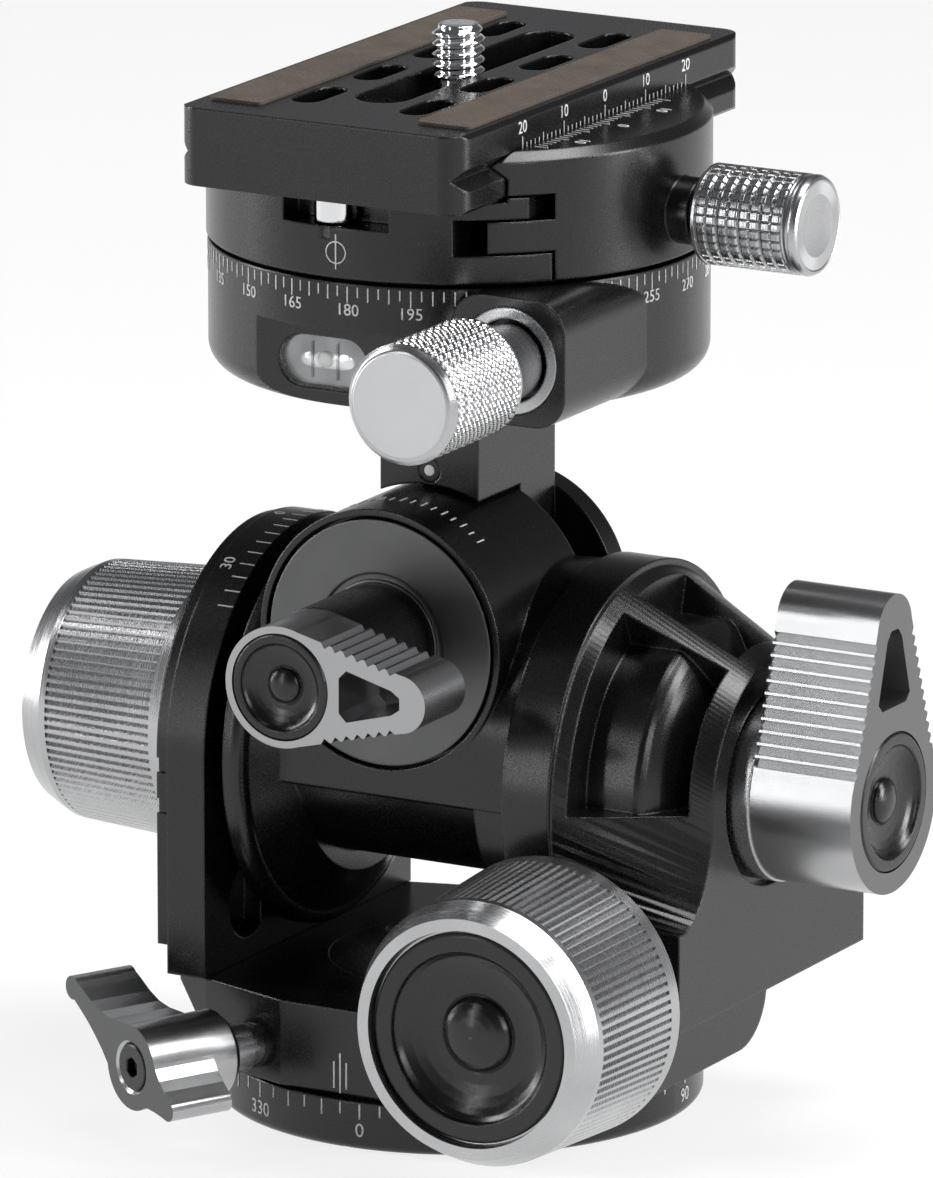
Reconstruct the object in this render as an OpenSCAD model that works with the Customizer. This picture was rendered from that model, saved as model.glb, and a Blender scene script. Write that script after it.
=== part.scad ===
// Geared tripod head: a panning base, two worm-driven tilt axes, a panning ring and a plate clamp.
// Millimetres. Origin at the centre of the base's underside, +Z up, +X right, -Y towards the front knob.

/* [Base and platform] */
// Radius of the round base
base_r = 29.4; // [28:0.2:32]
// Height of the round base
base_h = 6; // [5:0.5:8]
// Minor radius of the 3/8 inch tripod thread
tripod_thread_r = 4; // [3.9:0.05:4.2]
// Height of the platform that turns on the base
platform_h = 10.4; // [9:0.2:12]
// Distance of the platform's front and rear faces from the pan axis
platform_y = 28.3; // [27:0.1:29]

/* [Tilt axis] */
// Height of the forward tilt axis above the floor
tilt_z = 43.3; // [42.5:0.1:45]
// Radius of the round heads of both arms
arm_r = 25; // [24:0.2:25.2]
// Inner face of the left arm
left_arm_x = 20.8; // [20.4:0.1:22]
// Thickness of the left arm
left_arm_t = 5.2; // [4.5:0.1:6]
// Inner face of the right arm
right_arm_x = 19.6; // [19.4:0.1:21]
// Width of the right arm's plain rim
rim_w = 6.2; // [5:0.1:8]
// Outer face of the right arm
right_face_x = 42.5; // [41:0.1:44]
// Radius of the right arm's outer collar
collar_r = 15; // [13.5:0.1:16]

/* [Roll axis] */
// Height of the roll axis above the floor
roll_z = 59.6; // [59:0.1:61]
// Outer radius of the roll barrel
barrel_r = 16.2; // [15.5:0.1:17]
// Distance of the housing's flat front from the pan axis
housing_y = 19.4; // [18.5:0.1:20]
// Rear end of the roll barrel
barrel_rear_y = 2.6; // [2:0.1:3]

/* [Gears] */
// Module of both worm wheels
gear_m = 1; // [1:0.1:1]
// Teeth of the forward tilt wheel
tilt_teeth = 32; // [32:1:32]
// Teeth of the roll wheel
roll_teeth = 24; // [24:1:24]
// Face width of both worm wheels
wheel_w = 5; // [4:0.2:5]
// Distance of the front worm from the pan axis
front_worm_x = 29.5; // [29:0.1:30]

/* [Large knobs] */
// Radius of a large knob at its outer rim
knob_r_out = 15; // [14:0.1:16]
// Radius of a large knob at its inner end
knob_r_in = 16.9; // [16:0.1:17.3]
// Length of a large knob
knob_l = 22; // [20:0.2:24]
// Distance of the left knob's inner end from the pan axis
left_knob_x = 30.4; // [29.5:0.1:32]
// Distance of the front knob's inner end from the pan axis
front_knob_y = 29.3; // [29:0.1:31]

/* [Levers] */
// Hub radius of the right lever
right_hub_r = 11; // [10:0.1:12]
// Thickness of the right lever
right_lever_t = 13.4; // [12:0.1:15]
// Inner face of the right lever
right_lever_x = 45; // [44:0.1:47]
// Hub radius of the front lever
front_hub_r = 7.3; // [7:0.1:8]
// Thickness of the front lever
front_lever_t = 9.6; // [8:0.1:11]
// Front face of the front lever
front_lever_y = 42.9; // [40:0.1:44]

/* [Stem and pan ring] */
// Half width of the stem
stem_hw = 6.65; // [6:0.05:7.2]
// Front face of the stem
stem_front_y = 7.3; // [6.5:0.1:8]
// Rear face of the stem
stem_rear_y = 11.5; // [11:0.1:12]
// Radius of the stem's rear disc
rear_disc_r = 15; // [14.4:0.1:15.2]
// Radius of the pan ring
ring_r = 29.8; // [29:0.1:30]
// Underside of the pan ring
ring_z = 90; // [89:0.2:92]
// Height of the pan ring
ring_h = 15.4; // [14.8:0.2:16]

/* [Clamp and plate] */
// Radius of the clamp
clamp_r = 30; // [29.5:0.1:31]
// Height of the clamp's floor above its underside
clamp_floor_h = 9.9; // [9.6:0.1:10.2]
// Height of the clamp's jaws above its underside
clamp_h = 15.7; // [15:0.1:16]
// Width of the plate across its dovetail
plate_w = 38; // [37.6:0.1:38.4]
// Length of the plate
plate_l = 70; // [60:1:80]
// Thickness of the plate
plate_t = 9.3; // [9:0.1:9.6]
// Travel of the moving jaw
jaw_travel = 2.6; // [2:0.1:2.8]

/* [Clearances] */
// Radial clearance of a shaft in its bearing
run_gap = 0.05; // [0.03:0.01:0.08]
// Gap between faces that slide or turn past each other
face_gap = 0.3; // [0.2:0.05:0.4]

/* [Hidden] */
$fn = 96;

eps = 0.02;
black = [0.16, 0.16, 0.17];
silver = [0.82, 0.83, 0.84];
steel = [0.6, 0.61, 0.62];
bronze = [0.62, 0.47, 0.28];

platform_z = base_h + 0.4;
platform_top = platform_z + platform_h;
spindle_r = 9;
spindle_top = platform_top - 3.2;
retainer_r = 15.6;
arm_foot_z = 18.5;
block_y = 23.4;
block_top = 30.2;
collar_fillet = 9;

tilt_wheel_r = gear_m * tilt_teeth / 2;
roll_wheel_r = gear_m * roll_teeth / 2;
roll_worm_r = roll_z - tilt_z - roll_wheel_r;
front_worm_r = 4.1;
front_worm_z = tilt_z - tilt_wheel_r - front_worm_r;
addendum = 0.8 * gear_m;
dedendum = gear_m;
pitch = PI * gear_m;
// turns that put a gap of each wheel over its worm's thread at rest
tilt_phase = 0.3 * 360 / tilt_teeth;
roll_phase = 90 - 0.47 * 360 / roll_teeth;
worm_l = 16;
shaft_r = 2.5;
bush_r = 5;
bush_w = 3;

cover_t = 1.6;
cover_x = left_arm_x + left_arm_t;
flange_x = 18.6;
flange_t = 2.6;
trunnion_r = 9;
bearing_r = 11.5;
drum_z = 48;
drum_right_x = right_arm_x - face_gap;
undercut_z = 41;
worm_tube_r = 7.2;

lock_x = -13.4;
lock_y = -26.8;
lock_z = 10.2;
lock_l = 17;
lock_dir = atan2(-lock_y, -lock_x);

clamp_z = ring_z + ring_h + 0.3;
clamp_floor_z = clamp_z + clamp_floor_h;
clamp_top = clamp_z + clamp_h;
plate_z = clamp_floor_z + face_gap;
plate_top = plate_z + plate_t;
plate_y = 1;
groove_z = plate_z + 4;
clamp_knob_z = clamp_z + 5.8;
clamp_knob_r = 6;
lock_knob_z = ring_z + 7.8;
lock_knob_x = 21.5;
lock_knob_r = 7.1;
boss_end_x = 29;
boss_end_y = -5.4;

// ---------- helpers ----------

module along_x() { rotate([90, 0, 90]) children(); }
module along_y() { rotate([90, 0, 0]) children(); }

// Cylinder along +X from x0, centred on (y, z)
module rod_x(x0, l, r, y = 0, z = 0) { translate([x0, y, z]) rotate([0, 90, 0]) cylinder(h = l, r = r); }
// Cylinder along +Y from y0, centred on (x, z)
module rod_y(y0, l, r, x = 0, z = 0) { translate([x, y0, z]) rotate([-90, 0, 0]) cylinder(h = l, r = r); }
module tube(h, r_out, r_in) {
  difference() {
    cylinder(h = h, r = r_out);
    translate([0, 0, -eps]) cylinder(h = h + 2 * eps, r = r_in);
  }
}
module pipe_x(x0, l, r_out, r_in, y = 0, z = 0) {
  difference() {
    rod_x(x0, l, r_out, y, z);
    rod_x(x0 - eps, l + 2 * eps, r_in, y, z);
  }
}
module pipe_y(y0, l, r_out, r_in, x = 0, z = 0) {
  difference() {
    rod_y(y0, l, r_out, x, z);
    rod_y(y0 - eps, l + 2 * eps, r_in, x, z);
  }
}
// Box between two corners
module block(a, b) { translate(a) cube(b - a); }
// Slot with round ends along y
module slot_2d(w, l) {
  translate([0, -(l - w) / 2]) circle(r = w / 2);
  translate([0, (l - w) / 2]) circle(r = w / 2);
  square([w, l - w], center = true);
}
// Rectangle with true round corners
module round_rect(w, h, r) {
  square([w - 2 * r, h], center = true);
  square([w, h - 2 * r], center = true);
  for (sx = [-1, 1], sy = [-1, 1]) translate([sx * (w / 2 - r), sy * (h / 2 - r)]) circle(r = r);
}

// ---------- gears ----------

// Spur-cut worm wheel: trapezoid teeth on a root disc, thinned for free mesh
module wheel_2d(teeth, r) {
  circle(r = r - dedendum);
  step = 360 / teeth;
  for (i = [0:teeth - 1]) rotate(i * step)
    polygon([[r - dedendum - 0.3, -0.95], [r, -0.63], [r + addendum - 0.2, -0.38], [r + addendum - 0.2, 0.38],
             [r, 0.63], [r - dedendum - 0.3, 0.95]]);
}
// Cross-section of a single-start worm: a thread of trapezoid profile swept round the core
function worm_radius(t, r) =
  let (core = r - dedendum, tip = r + addendum - 0.2, d = abs(t - 0.5))
  d < 0.08 ? tip : d < 0.27 ? tip - (tip - core) * (d - 0.08) / 0.19 : core;
module worm_thread(r, l) {
  points = 20;
  linear_extrude(height = l, twist = -360 * l / pitch, slices = round(l / pitch * 10), $fn = points)
    polygon([for (i = [0:points - 1]) let (t = i / points, q = worm_radius(t, r))
      [q * cos(360 * t), q * sin(360 * t)]]);
}

// ---------- base ----------

module base_profile() {
  difference() {
    translate([0, 0]) square([base_r, base_h]);
    translate([base_r - 1.2, -eps]) difference() {
      square([1.2 + eps, 1.2 + eps]);
      translate([0, 1.2 + eps]) circle(r = 1.2);
    }
  }
  square([spindle_r, spindle_top]);
}
module base_disc() {
  color(black) difference() {
    rotate_extrude() base_profile();
    translate([0, 0, -eps]) cylinder(h = 10 + eps, r = 6.2);
    translate([0, 0, 9]) cylinder(h = spindle_top, r = 2);
    // waist that the lock bolt's tip presses into
    translate([0, 0, lock_z - 2.2]) tube(4.4, spindle_r + 1, spindle_r - 0.8);
    // annular pocket under the pan scale
    translate([0, 0, base_h - 1.2]) tube(1.2 + eps, 26, 12);
  }
}
module thread_insert() {
  color(steel) difference() {
    cylinder(h = 10, r = 6.2 - eps);
    translate([0, 0, -eps]) cylinder(h = 10 + 2 * eps, r = tripod_thread_r);
  }
}
module pan_bearing_ring() {
  color([0.85, 0.84, 0.8]) translate([0, 0, base_h - 1.2]) tube(1.5, 25.6, 12.4);
}

// ---------- turning frame ----------

module platform_outline() {
  polygon([[-25.6, -22.6], [-21, -24.5], [-8.6, -platform_y], [14, -platform_y], [19, -25.4], [21, -block_y + 0.4],
    [32.5, -block_y + 0.4], [32.5, 17.6], [22, 21.8], [14, platform_y], [-8.6, platform_y], [-21, 24.5], [-25.6, 22.6]]);
}
module platform() {
  color(black) difference() {
    union() {
      intersection() {
        translate([0, 0, platform_z]) linear_extrude(height = platform_h) platform_outline();
        union() {
          // the left edge is bevelled towards the base
          rotate([90, 0, 0]) translate([0, 0, -40]) linear_extrude(height = 80)
            polygon([[-22.6, 0], [40, 0], [40, 40], [-25.6, 40], [-25.6, platform_top - 1.2], [-22.6, platform_top - 5]]);
        }
      }
      block([21, -block_y + 0.4, platform_top - eps], [32.5, 17.6, arm_foot_z]);
    }
    // rear lower corner under the right arm is rounded
    translate([20, 17.6 - 7, platform_z + 7]) rotate([0, 90, 0]) difference() {
      translate([0, 0, 1.5]) cube([8, 8, 12]);
      cylinder(h = 14, r = 7);
    }
    // groove under the front worm and its bushes
    rod_y(-block_y - 1, 2 * block_y + 2, bush_r + face_gap, front_worm_x, front_worm_z);
    // pan spindle and the retainer above it
    translate([0, 0, platform_z - eps]) cylinder(h = platform_h, r = spindle_r + run_gap);
    translate([0, 0, spindle_top]) cylinder(h = 6, r = retainer_r + run_gap);
    // lock bolt
    lock_axis() translate([0, 0, -24]) cylinder(h = 26, r = 2.5 + run_gap);
    for (a = [30, 150, 270]) rotate(a) translate([12.4, 0, platform_z + 1]) cylinder(h = 20, r = 1.25);
  }
}
module retainer_cap() {
  color(black) difference() {
    translate([0, 0, spindle_top + 0.1]) cylinder(h = platform_top - spindle_top - 0.1, r = retainer_r);
    for (a = [30, 150, 270]) rotate(a) translate([12.4, 0, 0]) {
      cylinder(h = 30, r = 1.5);
      translate([0, 0, platform_top - 1.8]) cylinder(h = 4, r = 2.4);
    }
    translate([0, 0, platform_top - 0.8]) tube(2, 8.2, 7.4);
  }
}
module cap_screws() {
  color(steel) for (a = [30, 150, 270]) rotate(a) translate([12.4, 0, 0]) difference() {
    union() {
      translate([0, 0, spindle_top - 2.6]) cylinder(h = platform_top - spindle_top + 1, r = 1.2);
      translate([0, 0, platform_top - 1.8]) cylinder(h = 1.7, r = 2.3);
    }
    translate([0, 0, platform_top - 1.2]) cylinder(h = 2, r = 1.15, $fn = 6);
  }
}

// Side outline of an arm: a round head on straight sides, in y and z
module arm_outline(r, foot) {
  translate([0, tilt_z]) circle(r = r);
  translate([-r, foot]) square([2 * r, tilt_z - foot]);
}
module left_arm() {
  color(black) difference() {
    translate([-cover_x, 0, 0]) along_x() linear_extrude(height = left_arm_t) difference() {
      arm_outline(arm_r, platform_top);
      translate([0, tilt_z]) circle(r = bearing_r);
    }
    // D-shaped pocket in the inner face, front and rear
    for (s = [-1, 1]) translate([-left_arm_x - 2.4, s * 14.6, 24.2]) along_x() linear_extrude(height = 4)
      difference() {
        circle(r = 4.6);
        translate([s > 0 ? -14 : 3, -5]) square([11, 10]);
      }
    // screw holes of the cover
    for (a = [45:90:315]) translate([0, 0, tilt_z]) rotate([a, 0, 0]) rod_x(-cover_x - 1, 4, 1.25, 0, 20);
  }
}
module left_cover() {
  r = arm_r - 0.5;
  color(black) difference() {
    translate([-cover_x - cover_t, 0, 0]) along_x() linear_extrude(height = cover_t) difference() {
      arm_outline(r, platform_top + 3.4);
      translate([0, tilt_z]) circle(r = 5.6);
    }
    for (a = [45:90:315]) translate([0, 0, tilt_z]) rotate([a, 0, 0]) {
      rod_x(-cover_x - cover_t - 1, 4, 1.4, 0, 20);
      rod_x(-cover_x - cover_t - 1, 1.9, 2.4, 0, 20);
    }
    // notches in the rim for taking the cover off
    for (s = [-1, 1], z = [tilt_z - 1, tilt_z - 6]) block([-cover_x - cover_t - 1, s * r - 0.5, z - 0.9],
      [-cover_x + 1, s * r + 0.5, z + 0.9]);
  }
}
module cover_screws() {
  color(steel) for (a = [45:90:315]) translate([0, 0, tilt_z]) rotate([a, 0, 0]) difference() {
    union() {
      rod_x(-cover_x - cover_t + 0.1, 3.8, 1.2, 0, 20);
      rod_x(-cover_x - cover_t + 0.1, 0.75, 2.3, 0, 20);
    }
    translate([-cover_x - cover_t - 0.4, 0, 20]) rotate([0, 90, 0]) cylinder(h = 1, r = 1, $fn = 6);
  }
}

// Half outlines of the right arm, in y and z about the tilt axis: rim and outer face, walked alike from
// the top down to the foot block. Each has a round head, then the rim's flank or the face's hollow flare.
head_steps = 40;
flare_steps = 14;
foot_y = block_y;
flare_z = block_top - tilt_z;
rim_turn = 72;
rim_end = 90 + asin(-flare_z / (arm_r - 0.3));
face_turn = 96;
face_y = collar_r * sin(face_turn);
face_z = collar_r * cos(face_turn);
function rim_half() = [for (i = [0:head_steps + flare_steps])
  let (a = i < head_steps ? rim_turn * i / head_steps : rim_turn + (rim_end - rim_turn) * (i - head_steps) / flare_steps)
  (arm_r - 0.3) * [sin(a), cos(a)]];
function face_half() = concat(
  [for (i = [0:head_steps]) let (a = face_turn * i / head_steps) collar_r * [sin(a), cos(a)]],
  [for (i = [1:flare_steps]) let (b = 90 * i / flare_steps)
    [face_y + (foot_y - face_y) * (1 - cos(b)), face_z + (flare_z - face_z) * sin(b)]]);
function mirrored(list) = concat(list, [for (i = [len(list) - 1:-1:1]) [-list[i][0], list[i][1]]]);
function ring_points(x, list) = [for (p = list) [x, p[0], p[1] + tilt_z]];
module right_arm_loft() {
  rim = mirrored(rim_half());
  face = mirrored(face_half());
  n = len(rim);
  polyhedron(points = concat(ring_points(right_arm_x + rim_w - 1, rim), ring_points(right_face_x + 0.7, face)),
    faces = concat([[for (i = [n - 1:-1:0]) i]], [[for (i = [0:n - 1]) n + i]],
      [for (i = [0:n - 1]) let (j = (i + 1) % n) [i, j, n + i]],
      [for (i = [0:n - 1]) let (j = (i + 1) % n) [j, n + j, n + i]]));
}
// Wheel cover and hub tube that stay inside the windows
module window_core() {
  x1 = front_worm_x + wheel_w / 2 + 1.7;
  translate([right_arm_x, 0, tilt_z]) rotate([0, 90, 0]) rotate_extrude()
    polygon([[0, 0], [tilt_wheel_r + addendum + 1.8, 0], [tilt_wheel_r + addendum + 1.8, x1 - right_arm_x],
      for (i = [1:10]) [12.2 + (tilt_wheel_r + addendum - 10.4) * (1 + cos(18 * i)) / 2, x1 - right_arm_x + 0.58 * i],
      [12.2, right_face_x - right_arm_x], [0, right_face_x - right_arm_x]]);
}
// Windows between the ribs, opening outwards; the front and rear ones end level with the tilt axis
module cone_windows() {
  x0 = right_arm_x + rim_w + 1.6;
  difference() {
    for (w = [[-91, -24], [-15, 15], [24, 91]])
      translate([x0, 0, tilt_z]) rotate([90, 0, 90]) linear_extrude(height = right_face_x - x0 - 2.6)
        polygon(concat([[0, 0]], [for (i = [0:6]) let (a = 90 - w[0] + (w[0] - w[1]) * i / 6) [34 * cos(a), 34 * sin(a)]]));
    window_core();
  }
}
module right_arm() {
  color(black) difference() {
    union() {
      rod_x(right_arm_x, rim_w, arm_r, 0, tilt_z);
      right_arm_loft();
      block([right_arm_x + 0.4, -block_y, arm_foot_z], [right_face_x, block_y, block_top + 0.3]);
    }
    block([right_face_x, -40, 0], [60, 40, 80]);
    block([0, -40, 0], [60, 40, arm_foot_z]);
    cone_windows();
    // bearing, wheel chamber and lever shaft
    rod_x(right_arm_x - 1, 6.4, bearing_r, 0, tilt_z);
    rod_x(right_arm_x + 1, front_worm_x - right_arm_x, trunnion_r + face_gap, 0, tilt_z);
    wheel_chamber();
    rod_x(25, 30, 4 + run_gap, 0, tilt_z);
    rod_x(right_face_x - 1, 2, 12, 0, tilt_z);
    // worm bore through the foot
    rod_y(-block_y - 1, 2 * block_y + 2, bush_r, front_worm_x, front_worm_z);
    rod_y(-worm_l / 2 - 1, worm_l + 2, front_worm_r + addendum + 0.3, front_worm_x, front_worm_z);
  }
}
module wheel_chamber() {
  rod_x(front_worm_x - wheel_w / 2 - 0.4, wheel_w + 0.8, tilt_wheel_r + addendum + 0.5, 0, tilt_z);
}
module left_arm_bush() {
  color(bronze) pipe_x(-cover_x + 0.2, left_arm_t - 0.4, bearing_r, trunnion_r + run_gap, 0, tilt_z);
}
module right_arm_bush() {
  color(bronze) pipe_x(right_arm_x + 0.2, 4.6, bearing_r, trunnion_r + run_gap, 0, tilt_z);
}
module front_worm_bushes() {
  color(bronze) for (y = [-block_y + 0.2, block_y - bush_w - 0.2])
    pipe_y(y, bush_w, bush_r, shaft_r + run_gap, front_worm_x, front_worm_z);
}

// ---------- pan lock of the base ----------

module lock_axis() {
  translate([lock_x, lock_y, lock_z]) rotate([0, 0, 180 + lock_dir]) rotate([0, 90, 0]) children();
}
// One wing in the knob's end plane: hollow flanks from the hub to a round tip
module wing(points, tip, tip_r) {
  translate([0, 0, lock_l - 8.3]) {
    linear_extrude(height = 8.3) polygon([for (p = points) [-p[1], p[0]]]);
    translate([-tip[1], tip[0], 0]) cylinder(h = 8.3, r = tip_r);
  }
}
module wing_lock_knob() {
  color(silver) lock_axis() difference() {
    union() {
      translate([0, 0, lock_l - 11.6]) cylinder(h = 11.6, r = 5.2);
      translate([0, 0, lock_l - 12.6]) cylinder(h = 1 + eps, r1 = 4.3, r2 = 5.2);
      translate([0, 0, 1.4]) cylinder(h = lock_l - 12.6 - 1.4 + eps, r = 3);
      wing([[0, 5.1], [-2, 5.08], [-4.4, 5], [-6.6, 5.3], [-8.7, 6.1], [-10.7, 7.2], [-12.6, 8.1], [-12.7, 6.7], [-12.3, 5.28],
        [-11, 4.45], [-9.4, 3.35], [-7.9, 2.1], [-6.4, 0.7], [-5, -0.9], [0, -2]], [-12.85, 6.75], 1.45);
      wing([[0, 3], [3.6, 3.7], [4.5, 2.5], [5.2, 1], [6.1, -0.25], [7.2, -1.3], [8.4, -2.25], [7.8, -3.4], [7.5, -4.72],
        [6.4, -4.5], [5, -4.3], [3.4, -4.2], [1.6, -4.7], [0, -5.1]], [7.75, -3.45], 1.3);
    }
    translate([0, 0, 1]) cylinder(h = lock_l - 4.5, r = 2.5);
    translate([0, 0, lock_l - 2.2]) cylinder(h = 3, r = 2.8);
    translate([0, 0, lock_l - 0.4]) cylinder(h = 0.5, r1 = 2.8, r2 = 3.4);
  }
}
module wing_lock_cap() {
  color(black) lock_axis() difference() {
    translate([0, 0, lock_l - 2.2]) cylinder(h = 2.1, r = 2.75);
    translate([0, 0, lock_l - 1.4]) cylinder(h = 4, r = 1.3, $fn = 6);
  }
}
module lock_bolt() {
  reach = norm([lock_x, lock_y]) - spindle_r - face_gap;
  color(steel) lock_axis() {
    translate([0, 0, -reach + 2]) cylinder(h = reach - 2 + lock_l - 3.6, r = 2.5);
    translate([0, 0, -reach]) cylinder(h = 2 + eps, r1 = 1.4, r2 = 2.1);
  }
}

// ---------- large knobs ----------

// Large knob along -Z from its inner end: a tapered body with straight flutes and a recessed face
module knob_profile() {
  polygon([[3, 0], [knob_r_in - 1.6, 0], [knob_r_in, 1.2], [knob_r_in - 0.1, 3], [knob_r_out + 0.9, knob_l - 3.2],
    [knob_r_out + 0.2, knob_l - 1.6], [knob_r_out - 0.6, knob_l], [knob_r_out - 2, knob_l],
    [knob_r_out - 2.2, knob_l - 1.4], [3, knob_l - 1.4]]);
}
module large_knob() {
  flutes = 96;
  difference() {
    rotate_extrude() knob_profile();
    // straight knurl cut along the taper
    for (i = [0:flutes - 1]) rotate(i * 360 / flutes) translate([knob_r_in + 0.12, 0, 3])
      rotate([0, -atan((knob_r_in - knob_r_out - 0.9) / (knob_l - 6)), 0]) rotate(45)
      translate([-0.33, -0.33, 0]) cube([0.66, 0.66, knob_l - 7]);
    translate([0, 0, -eps]) cylinder(h = 2 * knob_l, r = shaft_r);
    // socket for the domed cap
    translate([0, 0, knob_l - 4]) cylinder(h = 5, r = knob_r_out - 2.4);
  }
}
// Cap that fills a knob or lever face: flat rim, hollow dish and a low dome in its middle
module domed_cap(r, h, rim, dome, depth) {
  dish = r - rim - dome;
  difference() {
    rotate_extrude() polygon(concat([[0, 0], [r, 0], [r, h - 0.3], [r - 0.3, h], [r - rim, h]],
      [for (i = [1:6]) let (a = 90 * i / 6) [r - rim - dish * (1 - cos(a)), h - depth * sin(a)]],
      [for (i = [1:6]) let (a = 90 * i / 6) [dome * cos(a), h - depth + depth * 0.8 * sin(a)]]));
    translate([0, 0, h - depth - 0.1]) tube(1, dome + 0.1, dome - 0.12);
  }
}
module knob_place_left() { translate([-left_knob_x, 0, tilt_z]) rotate([0, -90, 0]) children(); }
module knob_place_front() { translate([front_worm_x, -front_knob_y, front_worm_z]) rotate([90, 0, 0]) children(); }

module left_knob() { color(silver) knob_place_left() large_knob(); }
module front_knob() { color(silver) knob_place_front() large_knob(); }
module left_knob_cap() {
  color(black) knob_place_left() translate([0, 0, knob_l - 4]) domed_cap(knob_r_out - 2.45, 3.4, 2.2, 4.6, 2.4);
}
module front_knob_cap() {
  color(black) knob_place_front() translate([0, 0, knob_l - 4]) domed_cap(knob_r_out - 2.45, 3.4, 2.2, 4.6, 2.4);
}
// Worm shaft from the knob's cap seat inwards along -Z, its worm centred on the pan axis plane
module worm_shaft(r, reach, tail) {
  difference() {
    union() {
      translate([0, 0, -reach + worm_l / 2 - 1]) cylinder(h = reach - worm_l / 2 + knob_l - 3, r = shaft_r);
      translate([0, 0, -reach - worm_l / 2]) worm_thread(r, worm_l);
      translate([0, 0, -reach - worm_l / 2 - tail]) cylinder(h = tail + 1, r = shaft_r);
    }
  }
}
module front_worm_shaft() {
  color(steel) knob_place_front() worm_shaft(front_worm_r, front_knob_y, block_y - worm_l / 2);
}
module left_worm_shaft() {
  color(steel) knob_place_left() worm_shaft(roll_worm_r, left_knob_x, 7);
}

// ---------- cross housing ----------

module housing_section() {
  translate([0, drum_z]) circle(r = housing_y);
  translate([-housing_y, undercut_z]) square([2 * housing_y, drum_z - undercut_z]);
  translate([0, tilt_z]) circle(r = worm_tube_r);
  // flanks run in from the undercut's edge to the worm tube
  polygon([[-housing_y, undercut_z], [-8, tilt_z - worm_tube_r + 0.6], [8, tilt_z - worm_tube_r + 0.6],
    [housing_y, undercut_z]]);
}
module cross_housing() {
  color(black) difference() {
    union() {
      translate([-flange_x + flange_t - eps, 0, 0]) along_x()
        linear_extrude(height = drum_right_x + flange_x - flange_t + eps) housing_section();
      // full round end towards the right arm
      rod_x(12.6, drum_right_x - 12.6, housing_y, 0, tilt_z);
      // flange beside the left arm, rounded into the drum
      translate([-flange_x, 0, tilt_z]) rotate([0, 90, 0]) rotate_extrude() difference() {
        square([arm_r - 0.5, flange_t]);
        translate([arm_r - 2, flange_t - 1.5]) difference() {
          square([2, 2]);
          circle(r = 1.5);
        }
      }
      translate([-flange_x + flange_t - eps, 0, tilt_z]) rotate([0, 90, 0])
        cylinder(h = 4, r1 = arm_r - 2.2, r2 = housing_y - 2);
      rod_y(-housing_y, housing_y + barrel_rear_y, barrel_r, 0, roll_z);
      // trunnions
      rod_x(-cover_x + 0.3, cover_x - flange_x, trunnion_r, 0, tilt_z);
      rod_x(drum_right_x - eps, front_worm_x - wheel_w / 2 - drum_right_x, trunnion_r, 0, tilt_z);
      rod_x(drum_right_x + 1, front_worm_x + wheel_w / 2 - drum_right_x - 1.4, 6, 0, tilt_z);
    }
    // the stem's disc turns in a round seat behind the barrel
    difference() {
      rod_y(barrel_rear_y, 40, rear_disc_r + 0.5, 0, roll_z);
      rod_x(-12, 24, worm_tube_r - 1.2, 0, tilt_z);
    }
    block([-stem_hw - 9, barrel_rear_y, roll_z], [stem_hw + 9, 40, roll_z + 40]);
    // roll wheel chamber, worm tunnel and front bearing
    rod_y(-wheel_w / 2 - 0.4, wheel_w / 2 + barrel_rear_y + 1, roll_wheel_r + addendum + 0.5, 0, roll_z);
    rod_x(-worm_l / 2 - 1, worm_l + 2, roll_worm_r + addendum + 0.3, 0, tilt_z);
    rod_x(-40, 34, shaft_r + 0.4, 0, tilt_z);
    rod_x(-cover_x, 4, bush_r, 0, tilt_z);
    rod_x(6, 10, bush_r, 0, tilt_z);
    rod_y(-housing_y - 1, 40, 6 + run_gap, 0, roll_z);
    // round seat of the front bearing cap, with its narrow groove
    rod_y(-housing_y - 1, 4, 15.4, 0, roll_z);
  }
}
module front_bearing_cap() {
  color(black) difference() {
    rod_y(-housing_y + 0.1, 2.8, 14.9, 0, roll_z);
    rod_y(-housing_y - 1, 10, 4 + run_gap, 0, roll_z);
    pipe_y(-housing_y - 1, 1.6, 8.4, 7.6, 0, roll_z);
  }
}
module tilt_wheel() {
  color(bronze) translate([front_worm_x - wheel_w / 2, 0, tilt_z]) rotate([0, 90, 0]) rotate(tilt_phase)
    linear_extrude(height = wheel_w - 0.2) difference() {
      wheel_2d(tilt_teeth, tilt_wheel_r);
      circle(r = 6);
      for (a = [0:60:300]) rotate(a) translate([10, 0]) circle(r = 2);
    }
}
module roll_bush() {
  color(bronze) pipe_y(-14, 8, 6, 4 + run_gap, 0, roll_z);
}
module left_worm_bushes() {
  color(bronze) {
    pipe_x(-cover_x + 0.4, 3, bush_r, shaft_r + run_gap, 0, tilt_z);
    pipe_x(worm_l / 2 + 1.4, 4, bush_r, shaft_r + run_gap, 0, tilt_z);
  }
}

// ---------- levers ----------

// Flat lever body along +Z: hub at the origin, tip towards +X, flanks just short of the tangents
module lever_body(hub, reach, tip, t) {
  b = acos((hub - tip) / (reach - tip));
  h = hub - 0.04;
  q = tip - 0.04;
  cylinder(h = t, r = hub);
  translate([reach - tip, 0, 0]) cylinder(h = t, r = tip);
  linear_extrude(height = t) polygon([[h * cos(b), -h * sin(b)], [reach - tip + q * cos(b), -q * sin(b)],
    [reach - tip + q * cos(b), q * sin(b)], [h * cos(b), h * sin(b)]]);
}
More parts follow.
